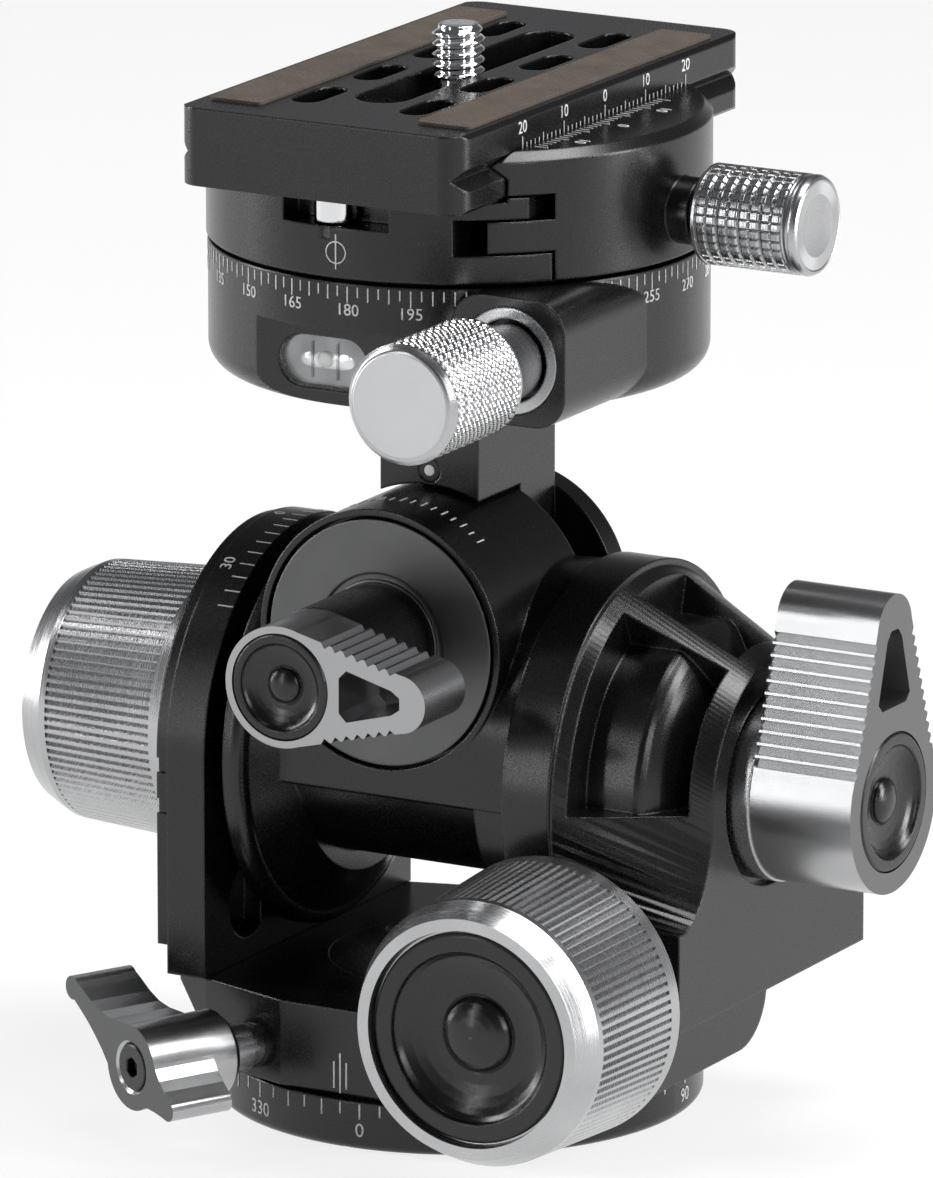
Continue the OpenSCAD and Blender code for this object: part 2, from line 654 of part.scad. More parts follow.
// Lever along +Z with a window, grip ridges on both flanks and a cap seat in its outer face
module lever(hub, reach, tip, t, cap_r, ridges, window_x, window_w, start) {
  b = 90 - acos((hub - tip) / (reach - tip));
  difference() {
    lever_body(hub, reach, tip, t);
    // tapering window with blunt corners
    translate([0, 0, -1]) linear_extrude(height = t + 2)
      polygon([[window_x, -window_w + 1], [window_x + 1, -window_w], [reach - tip - 1, -tip * 0.42], [reach - tip + 0.1, -tip * 0.2],
        [reach - tip + 0.1, tip * 0.2], [reach - tip - 1, tip * 0.42], [window_x + 1, window_w], [window_x, window_w - 1]]);
    for (s = [-1, 1], i = [0:ridges - 1]) mirror([0, s < 0 ? 1 : 0, 0])
      rotate(-b) translate([start + i * 1.5, hub, -eps]) rotate(45)
      translate([-0.45, -0.45, 0]) cube([0.9, 0.9, t + 2 * eps]);
    translate([0, 0, t - 2.2]) cylinder(h = 3, r = cap_r + run_gap);
    translate([0, 0, -eps]) cylinder(h = t, r = 3);
  }
}
module front_lever_place() { translate([0, -front_lever_y + front_lever_t, roll_z]) rotate([90, 0, 0]) children(); }
module right_lever_place() { translate([right_lever_x, 0, tilt_z]) rotate([0, 90, 0]) rotate([0, 0, 180]) children(); }

module front_lever() {
  color(silver) front_lever_place() lever(front_hub_r, 19.4, 3.5, front_lever_t, 6.4, 7, 7.9, 3.1, 4.5);
}
module front_lever_cap() {
  color(black) front_lever_place() translate([0, 0, front_lever_t - 2.2]) domed_cap(6.4, 2.3, 1.1, 2.2, 1.4);
}
module front_lever_shaft() {
  inner = front_lever_y - front_lever_t;
  color(steel) {
    rod_y(-inner, inner - housing_y - 0.2, 7.4, 0, roll_z);
    rod_y(-housing_y - 0.2, 7.4, 4, 0, roll_z);
    rod_y(-front_lever_y + 2.3, front_lever_t - 2.3, 3, 0, roll_z);
  }
}
module right_lever() {
  color(silver) right_lever_place() lever(right_hub_r, 25.2, 4.4, right_lever_t, 8.4, 11, 11.6, 4, 2);
}
module right_lever_cap() {
  color(black) right_lever_place() translate([0, 0, right_lever_t - 2.2]) domed_cap(8.4, 2.3, 1.5, 2.8, 1.5);
}
module right_lever_shaft() {
  color(steel) {
    rod_x(right_face_x - 0.8, right_lever_x - right_face_x + 0.8, 11.2, 0, tilt_z);
    rod_x(front_worm_x + wheel_w / 2 + 0.3, right_face_x - front_worm_x - wheel_w / 2 - 1.1, 4, 0, tilt_z);
    rod_x(right_lever_x, right_lever_t - 2.3, 3, 0, tilt_z);
  }
}

// ---------- stem ----------

module stem() {
  swing_r = barrel_r + 0.5;
  color(black) difference() {
    union() {
      difference() {
        union() {
          block([-stem_hw, -stem_front_y, roll_z], [stem_hw, stem_rear_y, ring_z]);
          // flared shoulder under the pan ring
          translate([0, 2.1, ring_z - 3]) linear_extrude(height = 3) round_rect(24, 30, 5);
        }
        rod_y(-40, 40 + barrel_rear_y + 0.4, swing_r, 0, roll_z);
      }
      // rear disc
      rod_y(stem_rear_y - eps, 3.3, rear_disc_r, 0, roll_z);
      rod_y(barrel_rear_y + 0.4, stem_rear_y - barrel_rear_y, 10, 0, roll_z);
    }
    rod_y(-40, 80, 4, 0, roll_z);
    rod_y(stem_rear_y + 2.2, 4, 8, 0, roll_z);
    rod_y(-stem_front_y - 1, 4, 1.5, 0, ring_z - 12);
    for (s = [-1, 1]) translate([s * 4, 2.1, ring_z - 8]) cylinder(h = 20, r = 1.6);
  }
}
module roll_wheel() {
  color(bronze) translate([0, wheel_w / 2 - 0.2, roll_z]) rotate([90, 0, 0]) rotate(roll_phase)
    linear_extrude(height = wheel_w - 0.4) difference() {
      wheel_2d(roll_teeth, roll_wheel_r);
      circle(r = 4);
    }
}
module roll_shaft() {
  color(steel) difference() {
    union() {
      rod_y(-11.6, 11.6 + stem_rear_y + 2.2, 4 - 0.02, 0, roll_z);
    }
    rod_y(stem_rear_y - 3, 8, 1.25, 0, roll_z);
  }
}
module rear_disc_cap() {
  color(black) difference() {
    rod_y(stem_rear_y + 2.2, 1.6, 7.9, 0, roll_z);
    translate([0, stem_rear_y + 3, roll_z]) rotate([-90, 0, 0]) cylinder(h = 2, r = 1.6, $fn = 6);
  }
}

// ---------- pan ring ----------

module ring_profile() {
  square([ring_r - 3, ring_h]);
  translate([0, 3]) square([ring_r, ring_h - 3]);
  translate([ring_r - 3, 3]) circle(r = 3);
}
vial_y = -26.2;
vial_x = -3;
vial_z = ring_z + 4.9;
module vial_place() { translate([vial_x, vial_y, vial_z]) children(); }
module pan_ring() {
  color(black) difference() {
    union() {
      rotate_extrude() translate([0, ring_z]) intersection() {
        ring_profile();
        square([40, ring_h]);
      }
      // square boss that carries the pan lock
      translate([lock_knob_x, -26.9, lock_knob_z]) rotate([-90, 0, 0]) linear_extrude(height = 22)
        round_rect(15, 15.2, 4);
      // the boss's outer flank runs out into the ring
      hull() {
        translate([lock_knob_x + 1, -24.5, lock_knob_z]) rotate([-90, 0, 0]) linear_extrude(height = 1)
          round_rect(12, 14, 4, $fn = 16);
        translate([boss_end_x, boss_end_y, lock_knob_z + 1]) rotate([90, 0, 90]) translate([0, 0, -3]) cylinder(h = 3, r = 0.6, $fn = 12);
      }
    }
    // flat face with the vial's slot
    block([-16, -40, ring_z - 1], [9.5, vial_y - 1.1, ring_z + 9.6]);
    vial_place() rotate([90, 0, 0]) translate([0, 0, -2.4]) linear_extrude(height = 5)
      rotate(90) slot_2d(6.4, 12);
    // lock seat
    rod_y(-28, 3.4, 6.4, lock_knob_x, lock_knob_z);
    rod_y(-28, 18, 2.5 + run_gap, lock_knob_x, lock_knob_z);
    // pan spindle
    translate([0, 0, ring_z + 4]) cylinder(h = 20, r = 9 + run_gap);
    translate([0, 0, ring_z + 4]) cylinder(h = 5, r = 13);
    translate([0, 0, ring_z + ring_h - 1]) tube(2, 25.6, 22);
    for (s = [-1, 1]) translate([s * 4, 2.1, ring_z - 1]) {
      cylinder(h = 10, r = 1.7);
      translate([0, 0, 2.4]) cylinder(h = 10, r = 3);
    }
  }
}
module level_vial() {
  color([0.75, 0.9, 0.45]) vial_place() rotate([90, 0, 0]) translate([0, 0, -2.2]) linear_extrude(height = 2)
    rotate(90) slot_2d(6.2, 11.8);
}
module vial_window() {
  color([0.85, 0.9, 0.92]) vial_place() rotate([90, 0, 0]) translate([0, 0, -0.2]) linear_extrude(height = 1.2)
    rotate(90) slot_2d(6.2, 11.8);
}
module lock_ring() {
  color(silver) pipe_y(-26.8, 2, 6.35, 5, lock_knob_x, lock_knob_z);
}
module stem_screws() {
  color(steel) for (s = [-1, 1]) translate([s * 4, 2.1, 0]) difference() {
    union() {
      translate([0, 0, ring_z - 6]) cylinder(h = 7.5, r = 1.55);
      translate([0, 0, ring_z + 1.4]) cylinder(h = 2.4, r = 2.9);
    }
    translate([0, 0, ring_z + 2.4]) cylinder(h = 2, r = 1.4, $fn = 6);
  }
}
module pan_lock_knob() {
  color(silver) translate([lock_knob_x, -27.1, lock_knob_z]) rotate([90, 0, 0]) difference() {
    union() {
      rotate_extrude() polygon([[0, 0], [4.6, 0], [4.2, 5.5], [6.2, 8.4], [lock_knob_r - 0.4, 8.8], [lock_knob_r, 9.4],
        [lock_knob_r, 24.6], [lock_knob_r - 0.6, 25.4], [0, 25.4]]);
    }
    translate([0, 0, -eps]) cylinder(h = 11.9 + eps, r = 2.5);
    // crossed helical cuts of the knurl's ends
    for (i = [0:35]) rotate(i * 10) translate([lock_knob_r + 0.05, 0, 9.8]) rotate(45)
      translate([-0.2, -0.2, 0]) cube([0.4, 0.4, 14.2]);
  }
}
module pan_lock_screw() {
  color(steel) rod_y(-39, 27.5, 2.5, lock_knob_x, lock_knob_z);
}

// ---------- clamp ----------

lip = 1.4;
jaw_top_x = 19.5;
jaw_finger_x = 17.4;
jaw_slot_x = 13.9;
jaw_step_x = 21.1;
jaw_x = 23.3;
finger_y = 12.4;
guide_y = 9.5;
level_b = clamp_z + 3.9;
level_c = clamp_z + 7.6;
level_d = clamp_z + 10.7;

// Inward jaw outline above the floor, in x and z, for the left side
module jaw_lip_2d() {
  edge = plate_w / 2 + 0.05;
  polygon([[-clamp_r - 1, clamp_floor_z - clamp_z - eps], [-edge - 0.2, clamp_floor_z - clamp_z - eps],
    [-edge - 0.2, groove_z - clamp_z - 1.5], [-edge + lip, groove_z - clamp_z], [-edge - 0.2, groove_z - clamp_z + 1.5],
    [-edge - 0.2, clamp_h], [-clamp_r - 1, clamp_h]]);
}
module clamp_cylinder() {
  translate([0, 0, clamp_z]) rotate_extrude()
    polygon([[0, 0], [clamp_r - 0.4, 0], [clamp_r, 0.4], [clamp_r, clamp_h - 1.1], [clamp_r - 1.1, clamp_h], [0, clamp_h]]);
}
module lip_bar(side) {
  mirror([side > 0 ? 1 : 0, 0, 0]) rotate([90, 0, 0]) translate([0, clamp_z, -40]) linear_extrude(height = 80)
    jaw_lip_2d();
}
module clamp_body() {
  g = face_gap;
  color(black) difference() {
    intersection() {
      clamp_cylinder();
      union() {
        translate([0, 0, clamp_z]) cylinder(h = clamp_floor_h, r = clamp_r + 1);
        lip_bar(-1);
        block([plate_w / 2 + 0.25, -40, clamp_z], [24, 40, level_d - g]);
      }
    }
    // the fixed jaw is bevelled off outside
    rotate([90, 0, 0]) translate([0, 0, -40]) linear_extrude(height = 80)
      polygon([[-31, clamp_top - 4.6], [-24.2, clamp_top + 0.2], [-31, clamp_top + 1]]);
    // room for the moving jaw, its overhanging top row and its fingers
    block([jaw_x - g, -40, clamp_z - 1], [60, 40, clamp_top + 1]);
    block([jaw_top_x - g, -40, level_d - g], [60, 40, clamp_top + 1]);
    block([jaw_step_x, -40, level_c], [60, 40, clamp_top]);
    for (s = [-1, 1]) mirror([0, s > 0 ? 1 : 0, 0])
      block([jaw_slot_x, -40, level_b - g], [60, -finger_y + g, level_c + g]);
    // screw and guide rods
    rod_x(-24, 80, 2.5 + run_gap, 0, clamp_knob_z);
    for (y = [-guide_y, guide_y]) rod_x(0, 60, 1.5 + run_gap, y, clamp_knob_z);
    // stop pin pocket in the front edge
    block([-7.3, -31, clamp_floor_z - 3.6], [6.9, -25.6, clamp_floor_z + 1]);
    translate([-1.2, -27.4, clamp_z + 1.6]) cylinder(h = 20, r = 1.55 + run_gap);
    translate([-1.2, -27.4, clamp_floor_z - 5.1]) cylinder(h = 20, r = 2.5 + run_gap);
    // spindle
    translate([0, 0, clamp_z - 1]) cylinder(h = 4.4, r = 9);
    // channel slot along the floor
    translate([0, 0, clamp_floor_z - 0.9]) linear_extrude(height = 3) slot_2d(9, 34);
  }
}
module clamp_spindle() {
  color(steel) difference() {
    union() {
      translate([0, 0, ring_z + 4.3]) cylinder(h = clamp_z + 3.2 - ring_z - 4.3, r = 9);
      translate([0, 0, ring_z + 4.3]) cylinder(h = 4.2, r = 12.6);
    }
    translate([0, 0, ring_z + 4]) cylinder(h = 30, r = 3);
  }
}
module stop_pin() {
  color(silver) translate([-1.2, -27.4, 0]) {
    translate([0, 0, clamp_z + 4.4]) cylinder(h = clamp_floor_h - 4.6, r = 1.55);
    translate([0, 0, clamp_floor_z - 3.2]) cylinder(h = 3, r = 2.5);
  }
}
module stop_pin_spring() {
  color(steel) translate([-1.2, -27.4, clamp_z + 1.7]) tube(2.6, 1.5, 1);
}
module clamp_jaw() {
  color(black) difference() {
    union() {
      intersection() {
        clamp_cylinder();
        union() {
          block([jaw_x, -40, clamp_z + 0.2], [60, 40, clamp_top]);
          for (s = [-1, 1]) mirror([0, s > 0 ? 1 : 0, 0])
            block([jaw_finger_x, -40, level_b], [jaw_x + 1, -finger_y, level_c]);
          intersection() {
            lip_bar(1);
            block([0, -40, level_d], [60, 40, clamp_top]);
          }
        }
      }
      // round boss that the knob turns on
      rod_x(28, 4.6, 4, 0, clamp_knob_z);
    }
    rod_x(0, 60, 2.5 + run_gap, 0, clamp_knob_z);
    for (y = [-guide_y, guide_y]) rod_x(0, 27, 1.5, y, clamp_knob_z);
  }
}
module jaw_guides() {
  color(steel) for (y = [-guide_y, guide_y]) rod_x(10, 16.8, 1.5 - 0.02, y, clamp_knob_z);
}
module clamp_knob() {
  color(silver) rod_knob();
}
module rod_knob() {
  translate([32.8, 0, clamp_knob_z]) rotate([0, 90, 0]) difference() {
    rotate_extrude() polygon([[0, 0], [3.6, 0], [clamp_knob_r - 0.5, 0.8], [clamp_knob_r, 1.4], [clamp_knob_r, 13.4],
      [clamp_knob_r - 0.4, 13.8], [clamp_knob_r, 14.2], [clamp_knob_r - 0.8, 15.2], [0, 14.9]]);
    translate([0, 0, -eps]) cylinder(h = 8.8 + eps, r = 2.5);
    for (i = [0:23]) rotate(i * 15) translate([clamp_knob_r, 0, 1.8]) cube([0.7, 0.5, 11.2]);
    for (z = [3.6:2.1:12.5]) translate([0, 0, z]) tube(0.4, clamp_knob_r + 1, clamp_knob_r - 0.3);
  }
}
module clamp_screw() {
  color(steel) rod_x(-10, 51.6, 2.5, 0, clamp_knob_z);
}

// ---------- plate ----------

module plate_section() {
  hw = plate_w / 2;
  polygon([[-hw + 0.5, 0], [-hw, 0.5], [-hw, 2.6], [-hw + 1.5, 4], [-hw, 5.4], [-hw, plate_t - 0.5], [-hw + 0.5, plate_t],
    [hw - 0.5, plate_t], [hw, plate_t - 0.5], [hw, 5.4], [hw - 1.5, 4], [hw, 2.6], [hw, 0.5], [hw - 0.5, 0]]);
}
module quick_plate() {
  color(black) translate([0, plate_y, plate_z]) difference() {
    intersection() {
      rotate([90, 0, 0]) translate([0, 0, -plate_l / 2]) linear_extrude(height = plate_l) plate_section();
      linear_extrude(height = plate_t) round_rect(plate_w, plate_l, 3);
    }
    // camera screw slot, its head recess below, and eight lightening slots
    translate([0, 0.6, -1]) linear_extrude(height = 20) slot_2d(6.8, 46);
    translate([0, 0.6, -eps]) linear_extrude(height = 5.4) slot_2d(14.4, 50);
    for (sx = [-1, 1], i = [-1.5:1:1.5]) translate([sx * 7.2, i * 14.4, -1]) linear_extrude(height = 20)
      slot_2d(3.8, 9.4);
    // recesses that hold the rubber strips
    for (sx = [-1, 1]) translate([sx * 13.9, 0, plate_t - 0.8]) linear_extrude(height = 2) round_rect(7.2, 60, 1);
  }
}
module rubber_strips() {
  color([0.5, 0.44, 0.38]) for (sx = [-1, 1]) translate([sx * 13.9, plate_y, plate_top - 0.8])
    linear_extrude(height = 1.1) round_rect(7.1, 59.9, 0.9);
}
module camera_screw() {
  color(silver) translate([0, -0.2, 0]) difference() {
    union() {
      translate([0, 0, plate_z + 0.3]) cylinder(h = 4.6, r = 6.8);
      translate([0, 0, plate_z + 4]) cylinder(h = plate_t - 3.2, r = 2.7);
      translate([0, 0, plate_top + 0.5]) cylinder(h = 4.5, r = 3.175);
      translate([0, 0, plate_top + 5 - eps]) cylinder(h = 0.6, r1 = 3.175, r2 = 2.5);
    }
    translate([0, 0, plate_z]) cylinder(h = 3, r = 2, $fn = 6);
  }
}

base_disc();
thread_insert();
pan_bearing_ring();
platform();
retainer_cap();
cap_screws();
left_arm();
left_cover();
cover_screws();
right_arm();
left_arm_bush();
right_arm_bush();
front_worm_bushes();
wing_lock_knob();
wing_lock_cap();
lock_bolt();
front_knob();
front_knob_cap();
front_worm_shaft();
cross_housing();
front_bearing_cap();
tilt_wheel();
roll_bush();
left_worm_bushes();
left_knob();
left_knob_cap();
left_worm_shaft();
right_lever();
right_lever_cap();
right_lever_shaft();
front_lever();
front_lever_cap();
front_lever_shaft();
stem();
roll_wheel();
roll_shaft();
rear_disc_cap();
pan_ring();
level_vial();
vial_window();
lock_ring();
stem_screws();
pan_lock_knob();
pan_lock_screw();
clamp_body();
clamp_spindle();
stop_pin();
stop_pin_spring();
clamp_jaw();
jaw_guides();
clamp_knob();
clamp_screw();
quick_plate();
rubber_strips();
camera_screw();
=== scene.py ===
"""Geared tripod head: finishes, engraved scales, knurls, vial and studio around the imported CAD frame."""

import math

import bmesh
import bpy
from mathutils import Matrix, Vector


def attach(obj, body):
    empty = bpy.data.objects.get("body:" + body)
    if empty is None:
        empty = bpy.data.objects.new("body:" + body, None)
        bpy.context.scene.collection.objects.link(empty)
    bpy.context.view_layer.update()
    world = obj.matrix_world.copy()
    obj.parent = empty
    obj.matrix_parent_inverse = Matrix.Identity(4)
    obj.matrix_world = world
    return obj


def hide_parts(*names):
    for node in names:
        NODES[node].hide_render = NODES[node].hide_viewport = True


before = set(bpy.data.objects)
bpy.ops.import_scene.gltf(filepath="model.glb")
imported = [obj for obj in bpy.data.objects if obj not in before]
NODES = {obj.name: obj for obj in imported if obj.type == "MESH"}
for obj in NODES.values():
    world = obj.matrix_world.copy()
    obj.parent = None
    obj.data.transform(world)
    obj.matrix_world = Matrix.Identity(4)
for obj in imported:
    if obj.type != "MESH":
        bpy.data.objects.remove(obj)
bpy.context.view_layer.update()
MM = 0.001
TAU = 2 * math.pi


# ---------- real sizes, in millimetres, as in the CAD source ----------
BASE_R = 29.4
PLATFORM_Y = 28.3
TILT_Z, ROLL_Z = 43.3, 59.6
LEFT_ARM_X, LEFT_ARM_T, ARM_R = 20.8, 5.2, 25.0
BARREL_R = 16.2
RING_R, RING_Z, RING_H = 29.8, 90.0, 15.4
CLAMP_R, CLAMP_Z = 30.0, 105.7
CLAMP_TOP = CLAMP_Z + 15.7
PLATE_Z = CLAMP_Z + 9.9 + 0.3
PLATE_TOP = PLATE_Z + 9.3
PLATE_W, PLATE_Y0 = 38.0, 1.0
STEM_Y, STEM_DOT_Z = 7.3, 78.0
FRONT_KNOB_X, FRONT_KNOB_Z = 29.5, 23.2
LOCK_X, LOCK_Y, LOCK_Z = 21.5, -27.1, 97.8      # start of the pan lock knob, which points to the front
CLAMP_KNOB_X, CLAMP_KNOB_Z = 32.8, 111.5        # start of the clamp knob, which points to the right
SCREW_Y = -0.2                                  # camera screw
STRIP_X = 13.9                                  # middle of each rubber strip
VIAL_X, VIAL_Y, VIAL_Z = -3.0, -26.2, RING_Z + 4.9      # middle of the vial's window

# angles from the front towards +X, in degrees, and the place along +Y, at which the scales start
BASE_ZERO, RING_ZERO = 5.5, 176.75
JAW_ZERO_Y = -2.9

MARK_LIFT, MARK_SINK = 0.06, 0.05       # how far a mark stands above its surface, and how far it goes in
EDGE = 0.0004                           # radius at which the edges of satin pieces catch the light, metres


# ---------- node helpers for materials ----------
def new_material(name):
    """A material with a principled shader alone."""
    mat = bpy.data.materials.new(name)
    mat.use_nodes = True
    tree = mat.node_tree
    for node in list(tree.nodes):
        tree.nodes.remove(node)
    out = tree.nodes.new("ShaderNodeOutputMaterial")
    shader = tree.nodes.new("ShaderNodeBsdfPrincipled")
    tree.links.new(shader.outputs[0], out.inputs[0])
    return mat, tree, shader


def coords(tree):
    """Object coordinates, in metres."""
    return tree.nodes.new("ShaderNodeTexCoord").outputs["Object"]


def noise(tree, vector, scale, detail=3.0, rough=0.5):
    node = tree.nodes.new("ShaderNodeTexNoise")
    node.inputs["Scale"].default_value = scale
    node.inputs["Detail"].default_value = detail
    node.inputs["Roughness"].default_value = rough
    tree.links.new(vector, node.inputs["Vector"])
    return node.outputs["Fac"]


def ramp(tree, fac, stops):
    node = tree.nodes.new("ShaderNodeValToRGB")
    cr = node.color_ramp
    while len(cr.elements) > 1:
        cr.elements.remove(cr.elements[-1])
    for i, (pos, col) in enumerate(stops):
        el = cr.elements[0] if i == 0 else cr.elements.new(pos)
        el.position = pos
        el.color = (*col, 1)
    tree.links.new(fac, node.inputs["Fac"])
    return node.outputs["Color"]


def mottled(tree, tones, scale=120.0, detail=3.0, rough=0.5):
    """A colour that drifts between two close tones."""
    dark, light = tones
    return ramp(tree, noise(tree, coords(tree), scale, detail, rough), [(0.3, dark), (0.7, light)])


def map_range(tree, value, low, high, to_low, to_high):
    node = tree.nodes.new("ShaderNodeMapRange")
    for name, v in (("From Min", low), ("From Max", high), ("To Min", to_low), ("To Max", to_high)):
        node.inputs[name].default_value = v
    tree.links.new(value, node.inputs["Value"])
    return node.outputs["Result"]


def operation(tree, kind, name, *values):
    """A maths node; each value is a socket to link or a plain number or vector."""
    node = tree.nodes.new(kind)
    node.operation = name
    for i, value in enumerate(values):
        if isinstance(value, bpy.types.NodeSocket):
            tree.links.new(value, node.inputs[i])
        else:
            node.inputs[i].default_value = value
    return node


def bump(tree, shader, height, distance, strength, edge=0.0):
    """Fine relief; with an edge radius, sharp edges also catch the light as slightly rounded ones do."""
    node = tree.nodes.new("ShaderNodeBump")
    node.inputs["Distance"].default_value = distance
    node.inputs["Strength"].default_value = strength
    if edge:
        soft = tree.nodes.new("ShaderNodeBevel")
        soft.samples = 6
        soft.inputs["Radius"].default_value = edge
        tree.links.new(soft.outputs["Normal"], node.inputs["Normal"])
    tree.links.new(height, node.inputs["Height"])
    tree.links.new(node.outputs["Normal"], shader.inputs["Normal"])


def grey(v):
    """A grey with a trace of blue."""
    return (v, v * 1.005, v * 1.02)


# ---------- finishes ----------
FINE_GRAIN = 5200.0             # noise scale of bead-blasted metal
SILVER_TONES = (grey(0.44), grey(0.48))
TURNED_TONES = (grey(0.42), grey(0.48))


def satin(name, tones, rough, metallic, grain=FINE_GRAIN, relief=0.000003):
    """Bead-blasted and anodised metal: fine grain, faint mottling and slightly uneven gloss."""
    mat, tree, shader = new_material(name)
    fine = noise(tree, coords(tree), grain, 2.0, 0.6)
    tree.links.new(mottled(tree, tones, 90.0, 4.0, 0.55), shader.inputs["Base Color"])
    tree.links.new(map_range(tree, fine, 0.3, 0.7, rough - 0.05, rough + 0.05), shader.inputs["Roughness"])
    shader.inputs["Metallic"].default_value = metallic
    bump(tree, shader, fine, relief, 0.6, EDGE)
    return mat


def turned(name, centre, axis):
    """Machined metal whose fine tool marks run round an axis through centre, in millimetres."""
    rough, pitch_mm = 0.25, 0.16
    mat, tree, shader = new_material(name)
    shift = tree.nodes.new("ShaderNodeMapping")
    shift.vector_type = "POINT"
    shift.inputs["Location"].default_value = [-c * MM for c in centre]
    tree.links.new(coords(tree), shift.inputs["Vector"])
    place = shift.outputs["Vector"]
    across = operation(tree, "ShaderNodeVectorMath", "MULTIPLY", place, [1.0 - c for c in axis])
    radius = operation(tree, "ShaderNodeVectorMath", "LENGTH", across.outputs["Vector"])
    along = operation(tree, "ShaderNodeVectorMath", "DOT_PRODUCT", place, axis)
    both = operation(tree, "ShaderNodeMath", "ADD", radius.outputs["Value"], along.outputs["Value"])
    band = tree.nodes.new("ShaderNodeTexNoise")
    band.noise_dimensions = "1D"
    band.inputs["Scale"].default_value = 1000.0 / pitch_mm
    band.inputs["Detail"].default_value = 2.0
    tree.links.new(both.outputs[0], band.inputs["W"])
    marks = band.outputs["Fac"]
    tree.links.new(mottled(tree, TURNED_TONES), shader.inputs["Base Color"])
    tree.links.new(map_range(tree, marks, 0.3, 0.7, rough - 0.05, rough + 0.06), shader.inputs["Roughness"])
    shader.inputs["Metallic"].default_value = 1.0
    bump(tree, shader, marks, 0.000012, 0.7)
    return mat


def faced(name, face, axis):
    """Bright metal whose flat faces square to one axis are darker and more matt."""
    rough = 0.27
    mat, tree, shader = new_material(name)
    fine = noise(tree, coords(tree), FINE_GRAIN, 2.0, 0.6)
    normal = tree.nodes.new("ShaderNodeTexCoord").outputs["Normal"]
    dot = operation(tree, "ShaderNodeVectorMath", "DOT_PRODUCT", normal, axis)
    size = operation(tree, "ShaderNodeMath", "ABSOLUTE", dot.outputs["Value"])
    fac = map_range(tree, size.outputs[0], 0.93, 0.97, 0.0, 1.0)
    mix = tree.nodes.new("ShaderNodeMixRGB")
    tree.links.new(fac, mix.inputs["Fac"])
    tree.links.new(mottled(tree, SILVER_TONES, 90.0, 4.0, 0.55), mix.inputs["Color1"])
    mix.inputs["Color2"].default_value = (*face, 1)
    tree.links.new(mix.outputs[0], shader.inputs["Base Color"])
    tree.links.new(map_range(tree, fac, 0.0, 1.0, rough, rough + 0.1), shader.inputs["Roughness"])
    shader.inputs["Metallic"].default_value = 1.0
    bump(tree, shader, fine, 0.000003, 0.6)
    return mat


def radial_brushed():
    """Round face brushed in circles: a highlight that fans out from the centre."""
    mat, tree, shader = new_material("silver_radial_face")
    tree.links.new(mottled(tree, (grey(0.50), grey(0.56))), shader.inputs["Base Color"])
    shader.inputs["Metallic"].default_value = 1.0
    shader.inputs["Roughness"].default_value = 0.30
    shader.inputs["Anisotropic"].default_value = 0.85
    tangent = tree.nodes.new("ShaderNodeTangent")
    tangent.direction_type = "RADIAL"
    tangent.axis = "X"
    tree.links.new(tangent.outputs[0], shader.inputs["Tangent"])
    return mat


def rubber():
    mat, tree, shader = new_material("ribbed_rubber")
    tones = ((0.060, 0.046, 0.036), (0.082, 0.064, 0.050))
    tree.links.new(mottled(tree, tones, 240.0, 4.0), shader.inputs["Base Color"])
    shader.inputs["Roughness"].default_value = 0.72
    bump(tree, shader, noise(tree, coords(tree), 3000.0, 2.0), 0.00004, 0.7)
    return mat


def vial_fluid():
    mat, tree, shader = new_material("vial_back")
    tree.links.new(mottled(tree, (grey(0.40), grey(0.62)), 260.0), shader.inputs["Base Color"])
    shader.inputs["Roughness"].default_value = 0.16
    shader.inputs["Metallic"].default_value = 0.5
    shader.inputs["Coat Weight"].default_value = 0.6
    return mat


def clear_glass():
    mat, tree, shader = new_material("clear_window")
    fine = noise(tree, coords(tree), 500.0, 2.0)
    tree.links.new(map_range(tree, fine, 0.3, 0.7, 0.02, 0.05), shader.inputs["Roughness"])
    shader.inputs["Base Color"].default_value = (0.93, 0.96, 0.96, 1)
    shader.inputs["Transmission Weight"].default_value = 0.92
    shader.inputs["IOR"].default_value = 1.45
    shader.inputs["Alpha"].default_value = 0.4
    return mat


BLACK = satin("black_anodised_satin", ((0.0022, 0.0022, 0.0024), (0.0034, 0.0034, 0.0037)), 0.26, 0.0,
              relief=0.000002)
BLACK_FACE = satin("black_anodised_face", (grey(0.10), grey(0.12)), 0.38, 1.0)
BLACK_CAP = satin("black_cap_gloss", ((0.0040, 0.0040, 0.0042), (0.0056, 0.0056, 0.0058)), 0.24, 0.0, 1400.0)
SILVER = satin("silver_satin", SILVER_TONES, 0.27, 1.0)
STEEL = satin("steel_machined", (grey(0.36), grey(0.42)), 0.26, 1.0, relief=0.000004)
SILVER_FLAT = satin("silver_flat_face", (grey(0.52), grey(0.56)), 0.42, 1.0)
CHROME = satin("chrome_polished", (grey(0.72), grey(0.76)), 0.09, 1.0, 1800.0, 0.000002)
BRONZE = satin("bronze_machined", ((0.45, 0.30, 0.14), (0.53, 0.36, 0.18)), 0.34, 1.0, 2600.0, 0.00002)
POLYMER = satin("low_friction_polymer", ((0.70, 0.69, 0.64), (0.76, 0.75, 0.70)), 0.5, 0.0, 2600.0, 0.00002)
WHITE = satin("engraved_white", ((0.74, 0.74, 0.73), (0.80, 0.80, 0.79)), 0.55, 0.0, 1500.0, 0.000002)
DARK_MARK = satin("engraved_black", ((0.006, 0.006, 0.006), (0.010, 0.010, 0.010)), 0.5, 0.0, 1500.0, 0.000002)
FRONT_KNOB_MAT = turned("silver_turned_front_knob", (FRONT_KNOB_X, 0, FRONT_KNOB_Z), (0, 1, 0))
LEFT_KNOB_MAT = turned("silver_turned_left_knob", (0, 0, TILT_Z), (1, 0, 0))
LOCK_KNOB_MAT = turned("silver_turned_lock_knob", (LOCK_X, 0, LOCK_Z), (0, 1, 0))
